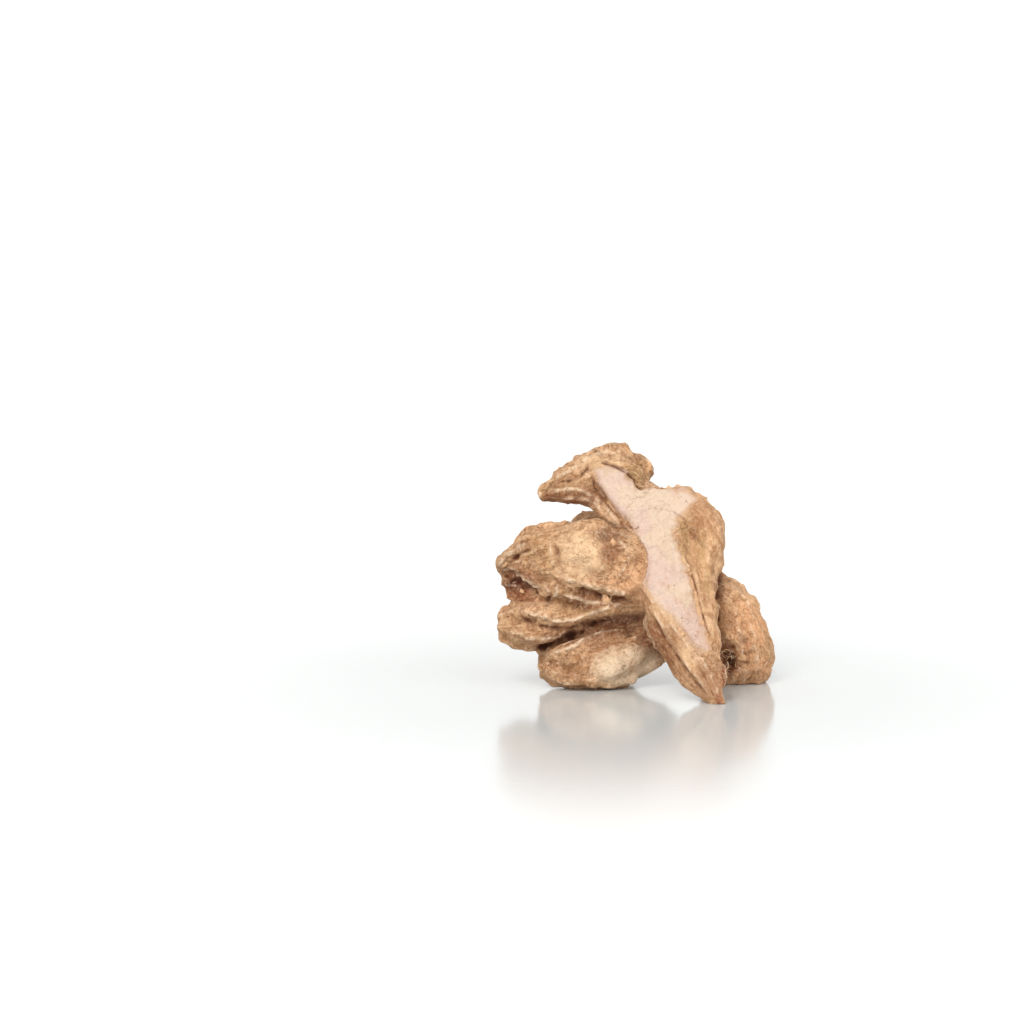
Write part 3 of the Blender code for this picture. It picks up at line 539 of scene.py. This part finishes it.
def patch_masks(flat, facing):
    """For each tint, how much of it each point has."""
    masks = {tint: np.zeros(len(flat)) for tint in TINTS}
    for tint, middle, half, strength in PATCHES.values():
        inner = DUST_FADE if tint == "dust" else PATCH_FADE
        amount = strength * facing * in_place(flat, middle, half, inner, PATCH_END)
        masks[tint] = np.maximum(masks[tint], amount)
    return masks


def ridges(points, depth=0.4):
    """Sharp crests where smooth noise passes through zero, and flattened valleys between."""
    return np.maximum(1 - 3.0 * np.abs(noise_at(points)), -depth)


def skin_relief(skin):
    """Raises the fine relief and stores what the material needs to know of it."""
    mesh = skin.data
    place, normal = points_of(mesh)
    drawn = place + FOOT
    owner, way, angle = limb_coordinates(drawn)
    flat = drawn[:, [0, 2]]
    front = -normal[:, 1]
    facing = smoothstep(-0.1, 0.4, front)
    even = np.max([1 - smoothstep(0.5, 1.0, path_distance(flat, line)[0] / reach)
                   for line, reach in SMOOTH_BANDS.values()], axis=0)
    even *= facing * on_limbs(owner, LEG)
    edges = edges_of(mesh)
    place += BAND_SMOOTHING * even[:, None] * (spread(place, edges, LEVEL_ROUNDS) - place)
    masks = patch_masks(flat, facing)
    for tint, shift in (("orange", 51.0), ("olive", 61.0), ("dust", 91.0)):
        patches = smoothstep(0.0, 0.35, noise_at(drawn / 11.0 + shift))
        masks[tint] = np.maximum(masks[tint], BACK_TINTS * (1 - facing) * patches)
    ragged = 0.9 * noise_at(drawn / 2.2 + SEED, 3)
    inside = inside_distance(flat, FACE_OUTLINE) + ragged
    slab = on_limbs(owner, FACE_LIMBS) * smoothstep(0.15, 0.5, front)
    softness = 1 + SOFT_WIDTH * amount_in(flat, SOFT_BORDERS, 0.6, 1.3)
    face = smoothstep(-0.25, 0.45, inside / softness) * slab
    lip = np.exp(-((inside + 0.75) / 0.7) ** 2) * slab / softness
    calm = 1 - np.maximum(0.45 * masks["dust"], 0.7 * masks["pale"]) * facing

    around = np.stack([np.cos(angle), np.sin(angle)], axis=1) * GIRTH
    warp = noise_at(drawn / 6.0 + 2 * SEED)[:, None]

    def wrinkles(length, pitch, shift):
        spot = np.column_stack([way / length + 3.7 * owner + shift, around / pitch + 0.6 * warp])
        return ridges(spot)

    def some_places(size, shift):
        return smoothstep(-0.2, 0.35, noise_at(drawn / size + shift))

    rough_places = np.maximum((1 - facing) * some_places(13.0, 71.0),
                              facing * amount_in(flat, ROUGH_PLACES, 0.5, 1.3))

    fine_noise = noise_at(drawn / 1.0, 2)
    rough = (RELIEF["long_wrinkles"] * wrinkles(14.0, 4.2, 0.0) * some_places(12.0, 31.0)
             + RELIEF["short_wrinkles"] * wrinkles(9.0, 2.2, 11.0) * some_places(8.0, 41.0)
             + RELIEF["coarse_crumple"] * ridges(drawn / 4.4 + 0.5 * warp + 5.0) * rough_places
             + RELIEF["fine_crumple"] * ridges(drawn / 2.2 + 0.5 * warp + 9.0) * rough_places
             + RELIEF["soft_bumps"] * noise_at(drawn / 3.2 + 19.0, 2)
             + RELIEF["fine_bumps"] * fine_noise)
    rough -= spread(rough, edges, LEVEL_ROUNDS)
    lift, crests, cracks = fold_lift(flat, owner, facing)
    lift += ((1 - FACE_CALM * face) * (1 - BAND_CALM * even) * calm * rough
             + RELIEF["lip_of_face"] * lip * some_places(5.0, 81.0))
    lift += face * (RELIEF["waves_of_face"] * noise_at(drawn / 4.0)
                    + RELIEF["grain_of_face"] * fine_noise)
    move_points(mesh, place + normal * lift[:, None])

    place, normal = points_of(mesh)
    for name, rounds in (("fine_height", FINE_ROUNDS), ("middle_height", MIDDLE_ROUNDS),
                         ("broad_height", BROAD_ROUNDS)):
        above = ((place - spread(place, edges, rounds)) * normal).sum(axis=1)
        keep_attribute(mesh, name, above)
    rays = np.zeros((len(flat), 3))
    nearest = np.full(len(flat), np.inf)
    for number, middle in enumerate(RAY_MIDDLES):
        offset = flat - middle
        away = np.linalg.norm(offset, axis=1)
        closer = away < nearest
        nearest[closer] = away[closer]
        turned = offset / np.maximum(away, 0.5)[:, None] * RAY_COUNT
        rays[closer] = np.column_stack([turned, RAY_BREAKS * away + 17.0 * number])[closer]
    keep_attribute(mesh, "face", face)
    keep_attribute(mesh, "face_inside", np.clip(inside, -3, 12))
    hairy = np.maximum(0.04 * (1 - facing), facing * amount_in(flat, HAIRY_PLACES, 0.6, 1.2))
    rootlets = facing * amount_in(flat, ROOTLET_PLACES, 0.6, 1.1)
    keep_attribute(mesh, "rough_places", rough_places)
    keep_attribute(mesh, "even_places", even)
    keep_attribute(mesh, "fold_crests", crests)
    keep_attribute(mesh, "fold_cracks", cracks)
    clear = (1 - face) * (1 - even) * smoothstep(2.5, 4.5, place[:, 2]) * (calm > 0.9)
    away_from_rim = smoothstep(0.55, 0.8, np.abs(front))
    flaky = np.maximum(rough_places, 0.5 * lip) * clear * away_from_rim
    keep_attribute(mesh, "flake_places", flaky)
    keep_attribute(mesh, "hairy_places", hairy * clear)
    keep_attribute(mesh, "rootlet_places", rootlets * clear)
    keep_attribute(mesh, "grain", np.column_stack([way + 40.0 * owner, around]))
    keep_attribute(mesh, "rays", rays)
    rayed = facing * np.maximum(0.5 * masks["pale"], masks["dust"]) * smoothstep(0.8, 4.0, nearest)
    keep_attribute(mesh, "rayed", rayed)
    for tint, amount in masks.items():
        keep_attribute(mesh, "tint_" + tint, amount)
    mesh.shade_smooth()


class Field:
    """A shader socket that can stand in a Python expression."""

    def __init__(self, finish, socket):
        self.finish = finish
        self.socket = socket

    def calculate(self, operation, *others):
        return self.finish.node("ShaderNodeMath", {"operation": operation},
                                dict(enumerate((self,) + others)))

    def __add__(self, other):
        return self.calculate("ADD", other)

    __radd__ = __add__

    def __sub__(self, other):
        return self.calculate("SUBTRACT", other)

    def __rsub__(self, other):
        return self.finish.node("ShaderNodeMath", {"operation": "SUBTRACT"}, {0: other, 1: self})

    def __mul__(self, other):
        return self.calculate("MULTIPLY", other)

    __rmul__ = __mul__

    def __truediv__(self, other):
        return self.calculate("DIVIDE", other)

    def __abs__(self):
        return self.calculate("ABSOLUTE")

    def least(self, other):
        return self.calculate("MINIMUM", other)

    def most(self, other):
        return self.calculate("MAXIMUM", other)

    def ramp(self, low, high):
        """0 below low, 1 above high, smooth between."""
        return self.finish.node("ShaderNodeMapRange", {"interpolation_type": "SMOOTHSTEP"},
                                {"Value": self, "From Min": low, "From Max": high})

    def blend(self, dark, light):
        """The colour between two colours, with this field as the share of the second."""
        return self.finish.node("ShaderNodeMix", {"data_type": "RGBA"},
                                {"Factor": self, 6: dark, 7: light}, 2)


class Finish:
    """A material whose nodes are made by expressions."""

    def __init__(self, name):
        self.material = bpy.data.materials.new(name)
        self.material.use_nodes = True
        self.tree = self.material.node_tree
        self.shader = self.tree.nodes["Principled BSDF"]

    def node(self, kind, settings, sockets, output=0):
        made = self.tree.nodes.new(kind)
        for key, value in settings.items():
            setattr(made, key, value)
        for key, value in sockets.items():
            self.feed(made.inputs[key], value)
        return Field(self, made.outputs[output])

    def feed(self, socket, value):
        if isinstance(value, Field):
            self.tree.links.new(value.socket, socket)
        else:
            socket.default_value = value

    def attribute(self, name, output="Fac"):
        return self.node("ShaderNodeAttribute", {"attribute_name": name}, {}, output)

    def place(self):
        """Object coordinates in millimetres."""
        coordinates = self.node("ShaderNodeTexCoord", {}, {}, "Object")
        return self.scaled(coordinates, (1 / MM,) * 3)

    def scaled(self, vector, factors):
        return self.node("ShaderNodeVectorMath", {"operation": "MULTIPLY"}, {0: vector, 1: factors})

    def noise(self, vector, pitch, detail=3.0, distortion=0.0):
        """Noise from about 0.3 to 0.7, with features a pitch apart."""
        return self.node("ShaderNodeTexNoise", {},
                         {"Vector": vector, "Scale": 1 / pitch, "Detail": detail,
                          "Distortion": distortion})

    def bumps(self, height, distance):
        return self.node("ShaderNodeBump", {},
                         {"Height": height, "Distance": distance, "Strength": 1.0})

    def set(self, **values):
        for key, value in values.items():
            self.feed(self.shader.inputs[key.replace("_", " ")], value)


def colour(red, green, blue):
    """A colour given as it looks on a screen, from 0 to 255."""
    def linear(level):
        share = level / 255
        return share / 12.92 if share <= 0.04045 else ((share + 0.055) / 1.055) ** 2.4
    return (linear(red), linear(green), linear(blue), 1.0)


# Grey near the root: painted shade on the floor round the root.
FLOOR_NEAR_PAINTED_SHADE = colour(205, 209, 208)
FLOOR_FAR = colour(247, 247, 246)
TAN_LIGHT = colour(216, 172, 131)
TAN_DARK = colour(165, 118, 79)
# Pale cream: the skin's own pale fibres and rays, and the painted highlight on ridges and fold
# crests.
PALE_AND_HIGHLIGHT = colour(236, 206, 174)
# Dark brown: the skin's own dark specks and flecks, and painted shade in creases, cracks and
# hollows.
SPECK_AND_SHADE_BROWN = colour(98, 54, 32)
# Near black brown for the painted shade in the deepest recesses.
DEEP_SHADE = colour(50, 22, 12)
FACE_CREAM = colour(208, 184, 161)
FACE_PINK = colour(205, 178, 164)
FACE_SHADE = colour(184, 145, 112)
TINT_COLOURS = {
    "pale": colour(220, 182, 142),
    "olive": colour(174, 136, 90),
    "red": colour(150, 90, 58),
    "brown": colour(140, 92, 60),
    "orange": colour(216, 162, 118),
    "dust": colour(221, 195, 164),
    # Dark brown: the colour of the painted shade patches, and of the middle spot.
    "dark": colour(84, 44, 30),
    "rust": colour(142, 78, 42),
}


def skin_finish():
    finish = Finish("dried_skin")
    place = finish.place()
    grain = finish.attribute("grain", "Vector")
    rays = finish.attribute("rays", "Vector")
    face = finish.attribute("face")
    inside = finish.attribute("face_inside")
    fine_height = finish.attribute("fine_height")
    middle_height = finish.attribute("middle_height")
    broad_height = finish.attribute("broad_height")
    crumpled = finish.attribute("rough_places")
    rayed = finish.attribute("rayed")
    even = finish.attribute("even_places")

    def thin_lines(vector, pitch, share, detail=2.0, distortion=0.6):
        """Thin lines where a noise passes its middle."""
        return (1.0 - abs(finish.noise(vector, pitch, detail, distortion) - 0.5) / share).most(0.0)

    broad = finish.noise(place, 11.0, 3.0)
    mid = finish.noise(place, 3.0, 5.0, 0.8)
    small = finish.noise(place, 0.9, 5.0, 0.5)
    along = finish.noise(finish.scaled(grain, (0.25, 1.6, 1.6)), 1.0, 4.0)
    outward = finish.noise(rays, 0.8, 4.0)
    streak = along + rayed * (outward - along)
    specks = finish.noise(place, 0.38, 2.0)
    broken = finish.noise(place, 2.0, 3.0).ramp(0.44, 0.58)
    crinkle = thin_lines(place, 3.8, 0.026, 3.0, 1.6) * broken
    drawn_out = finish.scaled(grain, (0.22, 0.6, 0.6))
    wrinkle = thin_lines(drawn_out, 1.0, 0.028, 3.0) * (1 - broken) * 0.8
    crackle = thin_lines(place, 1.8, 0.040, 3.0, 1.6) * crumpled * (0.3 + 0.7 * broken)
    lines = 0.75 * crinkle.most(wrinkle) * (1 - 0.7 * rayed) * (1 - 0.6 * even)
    lines = lines.most(0.6 * crackle)

    skin = (0.65 * mid + 0.35 * streak).ramp(0.36, 0.64).blend(TAN_DARK, TAN_LIGHT)
    for tint, tone in TINT_COLOURS.items():
        amount = finish.attribute("tint_" + tint) * (1.0 + 1.6 * (broad - 0.5) + 2.4 * (mid - 0.5))
        skin = amount.least(1.0).most(0.0).blend(skin, tone)
    # Painted highlight on the ridges, from the stored heights, with random pale mottling and pale
    # rayed streaks.
    highlight_and_mottle = (fine_height.ramp(0.04, 0.22) * (0.18 + 0.22 * small.ramp(0.42, 0.58))
             + middle_height.ramp(0.2, 0.8) * 0.28
             + (small - 0.5) * 1.5 * (1 - 0.4 * rayed) + (streak - 0.5) * 1.8 * rayed)
    skin = highlight_and_mottle.least(0.85).most(0.0).blend(skin, PALE_AND_HIGHLIGHT)
    # Painted shade in the fine creases, from the stored heights; the crinkle lines, which are also
    # bump grooves, are darkened as well.
    crease = (-1.0 * fine_height + (streak - 0.5) * 0.16).ramp(0.03, 0.20)
    rays_shown = thin_lines(rays, 1.1, 0.05, 3.0) * rayed
    skin = (0.35 * rays_shown).blend(skin, PALE_AND_HIGHLIGHT)
    skin = (0.50 * crease).most(0.46 * lines).blend(skin, SPECK_AND_SHADE_BROWN)
    # Painted highlight along the crests of raised folds and painted shade in the cracks of sunk
    # ones.
    skin = (0.62 * finish.attribute("fold_crests")).least(0.7).blend(skin, PALE_AND_HIGHLIGHT)
    skin = (0.85 * finish.attribute("fold_cracks")).least(0.85).blend(skin, SPECK_AND_SHADE_BROWN)
    # Painted shade in the hollows of middle size.
    hollow = (-1.0 * middle_height + (mid - 0.5) * 0.35).ramp(0.2, 0.9)
    skin = (0.65 * hollow).blend(skin, SPECK_AND_SHADE_BROWN)
    # Painted shade in the broad, deep recesses.
    deep_shade = (-1.0 * broad_height).ramp(0.9, 2.8)
    skin = (0.85 * deep_shade).blend(skin, DEEP_SHADE)
    speck = ((specks.ramp(0.60, 0.70) * 0.40 + (0.5 - small).ramp(0.06, 0.20) * 0.45)
             * (1 - 0.4 * rayed) * (1 - 0.6 * even))
    skin = speck.blend(skin, SPECK_AND_SHADE_BROWN)

    scraped = broad.ramp(0.42, 0.58).blend(FACE_CREAM, FACE_PINK)
    # Random smudges, and painted shade inside the scraped face along its border.
    smudge_and_rim_shade = (mid - 0.5) * 1.6 + (small - 0.5) * 1.0 + (2.2 - inside).ramp(0.0, 2.6) * 0.55
    scraped = smudge_and_rim_shade.least(0.75).most(0.0).blend(scraped, FACE_SHADE)
    crack = thin_lines(place, 5.0, 0.012, 3.0, 1.2) * finish.noise(place, 5.0, 2.0).ramp(0.55, 0.62)
    # Painted shade in the fine creases of the face, with thin crack lines.
    crease_shade_and_cracks = ((-1.0 * fine_height).ramp(0.03, 0.14) * 0.6).most(0.6 * crack)
    scraped = crease_shade_and_cracks.blend(scraped, SPECK_AND_SHADE_BROWN)
    scraped = (specks.ramp(0.66, 0.74) * 0.4).blend(scraped, SPECK_AND_SHADE_BROWN)
    finish.set(Base_Color=face.blend(skin, scraped), Roughness=0.80 + 0.3 * (mid - 0.5))
    finish.shader.inputs["Specular IOR Level"].default_value = 0.22
    texture = 0.35 * streak + 0.50 * small + 0.25 * specks - 0.45 * lines
    finish.set(Normal=finish.bumps(texture * (1 - 0.55 * face), 0.6 * MM))
    return finish.material


def flake_finish():
    """Thin dry peel, mottled, with dark flecks."""
    finish = Finish("papery_peel")
    place = finish.place()
    mottle = finish.noise(place, 3.0, 5.0, 0.8)
    fleck = finish.noise(place, 0.5, 3.0)
    peel = mottle.ramp(0.36, 0.64).blend(TAN_DARK, TAN_LIGHT)
    peel = (0.5 * fleck.ramp(0.56, 0.66)).blend(peel, SPECK_AND_SHADE_BROWN)
    finish.set(Base_Color=peel, Roughness=0.75 + 0.3 * (mottle - 0.5))
    finish.shader.inputs["Specular IOR Level"].default_value = 0.25
    finish.set(Normal=finish.bumps(0.6 * mottle + 0.4 * fleck, 0.3 * MM))
    return finish.material


def fibre_finish():
    finish = Finish("dry_fibres")
    mottle = finish.noise(finish.place(), 2.5, 3.0)
    finish.set(Base_Color=mottle.ramp(0.4, 0.6).blend(TAN_LIGHT, PALE_AND_HIGHLIGHT),
               Roughness=0.8 + 0.2 * (mottle - 0.5))
    finish.shader.inputs["Specular IOR Level"].default_value = 0.2
    return finish.material


def closed_mesh(name, points, faces):
    """A mesh whose faces are turned outwards."""
    mesh = bpy.data.meshes.new(name)
    mesh.from_pydata([tuple(p) for p in points], [], faces)
    work = bmesh.new()
    work.from_mesh(mesh)
    bmesh.ops.recalc_face_normals(work, faces=work.faces[:])
    work.to_mesh(mesh)
    work.free()
    mesh.shade_smooth()
    return mesh


def flake_shape(rows=5, columns=4):
    """One curled flake, one unit long, thin and closed, with its root at the origin."""
    points = []
    for side in (1, -1):
        for row in range(rows):
            way = row / (rows - 1)
            half = 0.42 * math.sin(math.pi * (0.16 + 0.70 * way)) * (1 + 0.18 * (-1) ** row)
            for column in range(columns):
                across = 2 * column / (columns - 1) - 1
                lift = 0.12 * way ** 2 - 0.07 * across ** 2 + side * FLAKE_THICKNESS / 2
                points.append((half * across + 0.08 * math.sin(5 * way), way - 0.12, lift))
    layer = rows * columns
    faces = []
    for row in range(rows - 1):
        for column in range(columns - 1):
            corner = row * columns + column
            quad = (corner, corner + 1, corner + columns + 1, corner + columns)
            faces.append(quad)
            faces.append(tuple(layer + k for k in reversed(quad)))
    rim = ([c for c in range(columns)] + [r * columns + columns - 1 for r in range(1, rows)]
           + [(rows - 1) * columns + c for c in range(columns - 2, -1, -1)]
           + [r * columns for r in range(rows - 2, 0, -1)])
    for here, there in zip(rim, rim[1:] + rim[:1]):
        faces.append((here, there, layer + there, layer + here))
    return closed_mesh("flake_shape", points, faces)


def add_strand(points, faces, centres, radii, across, along, sides=3):
    """Adds one closed thin tube along the centres, its rings spanned by two directions."""
    first = len(points)
    for centre, radius in zip(centres, radii):
        for side in range(sides):
            bend = 2 * math.pi * side / sides
            points.append(centre + radius * (across * math.cos(bend) + along * math.sin(bend)))
    for low in range(first, len(points) - sides, sides):
        for side in range(sides):
            beside = (side + 1) % sides
            faces.append((low + side, low + beside, low + sides + beside, low + sides + side))
    faces.append(tuple(range(first, first + sides)))
    faces.append(tuple(range(len(points) - sides, len(points))))


def fibre_shape(steps=5):
    """A tuft of bent strands, one unit tall, that grow out of one spot."""
    points, faces = [], []
    ways = [step / (steps - 1) for step in range(steps)]
    for strand in range(STRANDS):
        turn = 2 * math.pi * strand / STRANDS
        outward = Vector((math.cos(turn), math.sin(turn), 0))
        sideways = Vector((-math.sin(turn), math.cos(turn), 0))
        height = 1.0 - 0.22 * strand
        centres = [outward * (0.05 + 0.55 * way ** 2) + sideways * 0.22 * math.sin(3 * way + turn)
                   + Vector((0, 0, height * way - 0.1)) for way in ways]
        radii = [STRAND_RADIUS * (1 - 0.75 * way) for way in ways]
        add_strand(points, faces, centres, radii, outward, sideways)
    return closed_mesh("fibre_shape", points, faces)


def rootlet_shape(steps=10):
    """One curly strand, one unit long, that arches over the surface from its root."""
    points, faces = [], []
    ways = [step / (steps - 1) for step in range(steps)]
    centres = [Vector((0.16 * math.sin(7 * way), way, 0.24 * math.sin(math.pi * way) - 0.03))
               for way in ways]
    radii = [ROOTLET_RADIUS * (1 - 0.6 * way) for way in ways]
    add_strand(points, faces, centres, radii, Vector((1, 0, 0)), Vector((0, 0, 1)))
    return closed_mesh("rootlet_shape", points, faces)


def scatter_tree():
    """Copies of a shape stood on a surface: how many comes from a stored amount at each point."""
    tree = bpy.data.node_groups.new("scatter", "GeometryNodeTree")
    kinds = {"Surface": "Geometry", "Shape": "Object", "Places": "String", "Density": "Float",
             "Smallest": "Float", "Largest": "Float", "Least tilt": "Float", "Most tilt": "Float",
             "Seed": "Int", "Finish": "Material"}
    for name, kind in kinds.items():
        tree.interface.new_socket(name, in_out="INPUT", socket_type="NodeSocket" + kind)
    tree.interface.new_socket("Copies", in_out="OUTPUT", socket_type="NodeSocketGeometry")
    given = tree.nodes.new("NodeGroupInput").outputs

    def node(kind, sockets, **settings):
        made = tree.nodes.new(kind)
        for key, value in settings.items():
            setattr(made, key, value)
        for key, value in sockets.items():
            if isinstance(value, bpy.types.NodeSocket):
                tree.links.new(value, made.inputs[key])
            else:
                made.inputs[key].default_value = value
        return made.outputs

    def random_number(low, high, draw):
        return node("FunctionNodeRandomValue", {2: low, 3: high, "ID": index, "Seed": draw},
                    data_type="FLOAT")[1]

    amount = node("GeometryNodeInputNamedAttribute", {"Name": given["Places"]},
                  data_type="FLOAT")[0]
    density = node("ShaderNodeMath", {0: amount, 1: given["Density"]}, operation="MULTIPLY")[0]
    spots = node("GeometryNodeDistributePointsOnFaces",
                 {"Mesh": given["Surface"], "Density": density, "Seed": given["Seed"]})
    index = node("GeometryNodeInputIndex", {})[0]
    size = random_number(given["Smallest"], given["Largest"], 1)
    tilt = random_number(given["Least tilt"], given["Most tilt"], 2)
    spin = random_number(0.0, 2 * math.pi, 3)
    turn = node("ShaderNodeCombineXYZ", {"X": tilt, "Z": spin})[0]
    turned = node("FunctionNodeEulerToRotation", {0: turn})[0]
    facing = node("FunctionNodeRotateRotation", {0: spots["Rotation"], 1: turned},
                  rotation_space="LOCAL")[0]
    shape = node("GeometryNodeObjectInfo", {"Object": given["Shape"]})["Geometry"]
    copies = node("GeometryNodeInstanceOnPoints",
                  {"Points": spots["Points"], "Instance": shape, "Rotation": facing,
                   "Scale": size})[0]
    solid = node("GeometryNodeRealizeInstances", {"Geometry": copies})[0]
    dressed = node("GeometryNodeSetMaterial", {"Geometry": solid, "Material": given["Finish"]})[0]
    node("NodeGroupOutput", {0: dressed})
    return tree


def scattered(name, tree, skin, shape, inputs):
    """A piece made of copies of the shape on the skin, as a plain mesh."""
    model = bpy.data.objects.new(shape.name, shape)
    piece = bpy.data.objects.new(name, skin.data)
    bpy.context.scene.collection.objects.link(piece)
    modifier = piece.modifiers.new(name, "NODES")
    modifier.node_group = tree
    sockets = {item.name: item.identifier for item in tree.interface.items_tree
               if item.in_out == "INPUT"}
    for key, value in {"Shape": model, **inputs}.items():
        modifier[sockets[key]] = value
    graph = bpy.context.evaluated_depsgraph_get()
    mesh = bpy.data.meshes.new_from_object(piece.evaluated_get(graph), depsgraph=graph)
    piece.modifiers.clear()
    mesh.name = name
    piece.data = mesh
    bpy.data.objects.remove(model)
    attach(piece, BODY)
    return piece


def make_floor():
    """A wide pale floor, polished round the root and duller away from it, painted grey round the
    root as painted shade.
    """
    finish = Finish("pale_floor")
    away = finish.node("ShaderNodeVectorMath", {"operation": "LENGTH"}, {0: finish.place()},
                       "Value")
    dull = away.ramp(*FLOOR_POLISH)
    finish.set(Roughness=0.12 + 0.30 * dull, Base_Color=dull.blend(FLOOR_NEAR_PAINTED_SHADE, FLOOR_FAR))
    finish.shader.inputs["Specular IOR Level"].default_value = 0.5
    work = bmesh.new()
    bmesh.ops.create_grid(work, x_segments=1, y_segments=1, size=FLOOR_SIZE)
    mesh = bpy.data.meshes.new("floor")
    work.to_mesh(mesh)
    work.free()
    floor = bpy.data.objects.new("floor", mesh)
    bpy.context.scene.collection.objects.link(floor)
    mesh.materials.append(finish.material)


def soft_sun(name, strength, spread_angle, azimuth, elevation, tone):
    """A broad distant lamp that shines from an azimuth and elevation, in degrees."""
    lamp = bpy.data.lights.new(name, "SUN")
    lamp.energy = strength
    lamp.angle = math.radians(spread_angle)
    lamp.color = tone
    item = bpy.data.objects.new(name, lamp)
    bpy.context.scene.collection.objects.link(item)
    turn, rise = math.radians(azimuth), math.radians(elevation)
    level = math.cos(rise)
    back = Vector((math.sin(turn) * level, -math.cos(turn) * level, math.sin(rise)))
    item.rotation_euler = (-back).to_track_quat("-Z", "Y").to_euler()


def make_light():
    world = bpy.data.worlds.new("white_room")
    world.use_nodes = True
    tree = world.node_tree
    background = tree.nodes["Background"]
    background.inputs["Color"].default_value = (1.0, 1.0, 1.0, 1.0)
    direction = tree.nodes.new("ShaderNodeTexCoord")
    height = tree.nodes.new("ShaderNodeSeparateXYZ")
    glow = tree.nodes.new("ShaderNodeMapRange")
    glow.interpolation_type = "SMOOTHSTEP"
    for name, value in (("From Min", GLOW_LOW), ("From Max", GLOW_HIGH),
                        ("To Min", HORIZON_LIGHT), ("To Max", ROOM_LIGHT)):
        glow.inputs[name].default_value = value
    tree.links.new(direction.outputs["Generated"], height.inputs[0])
    tree.links.new(height.outputs["Z"], glow.inputs["Value"])
    tree.links.new(glow.outputs["Result"], background.inputs["Strength"])
    bpy.context.scene.world = world
    for name, lamp in LAMPS.items():
        soft_sun(name, *lamp)
    bpy.context.scene.view_settings.view_transform = "Standard"


def make_camera():
    """The photograph's view: level in x, looking slightly down."""
    lens = bpy.data.cameras.new("camera")
    lens.sensor_width = SENSOR
    lens.lens = SENSOR * CAMERA_DISTANCE / (FRAME_PIXELS * PIXEL_MM * MM)
    camera = bpy.data.objects.new("camera", lens)
    bpy.context.scene.collection.objects.link(camera)
    rise = math.radians(VIEW_ELEVATION)
    back = Vector((0.0, -math.cos(rise), math.sin(rise)))
    camera.location = Vector(VIEW_MIDDLE) * MM + back * CAMERA_DISTANCE
    camera.rotation_euler = (-back).to_track_quat("-Z", "Y").to_euler()
    lens.clip_end = 30.0
    bpy.context.scene.camera = camera


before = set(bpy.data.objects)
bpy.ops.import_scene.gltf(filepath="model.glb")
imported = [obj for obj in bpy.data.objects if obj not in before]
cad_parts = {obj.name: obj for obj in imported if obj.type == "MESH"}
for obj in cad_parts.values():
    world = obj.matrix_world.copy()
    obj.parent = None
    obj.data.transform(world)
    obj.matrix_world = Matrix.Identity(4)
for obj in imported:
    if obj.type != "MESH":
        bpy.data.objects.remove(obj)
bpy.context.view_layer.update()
make_camera()
make_light()
make_floor()
skin = fine_copy(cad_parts[NODE])
skin_relief(skin)
skin.data.materials.clear()
skin.data.materials.append(skin_finish())
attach(skin, BODY)
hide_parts(NODE)
tree = scatter_tree()
scattered("ginger_flakes", tree, skin, flake_shape(), {
    "Places": "flake_places", "Density": 0.035 / MM ** 2, "Smallest": 1.6 * MM, "Largest": 3.2 * MM,
    "Least tilt": 0.0, "Most tilt": 0.12, "Seed": 3, "Finish": flake_finish()})
fibres = fibre_finish()
scattered("ginger_rootlets", tree, skin, rootlet_shape(), {
    "Places": "rootlet_places", "Density": 0.2 / MM ** 2, "Smallest": 2.0 * MM, "Largest": 4.8 * MM,
    "Least tilt": -0.1, "Most tilt": 0.35, "Seed": 9, "Finish": fibres})
scattered("ginger_fibres", tree, skin, fibre_shape(), {
    "Places": "hairy_places", "Density": 0.35 / MM ** 2, "Smallest": 1.0 * MM, "Largest": 2.4 * MM,
    "Least tilt": -0.9, "Most tilt": 0.9, "Seed": 5, "Finish": fibres})
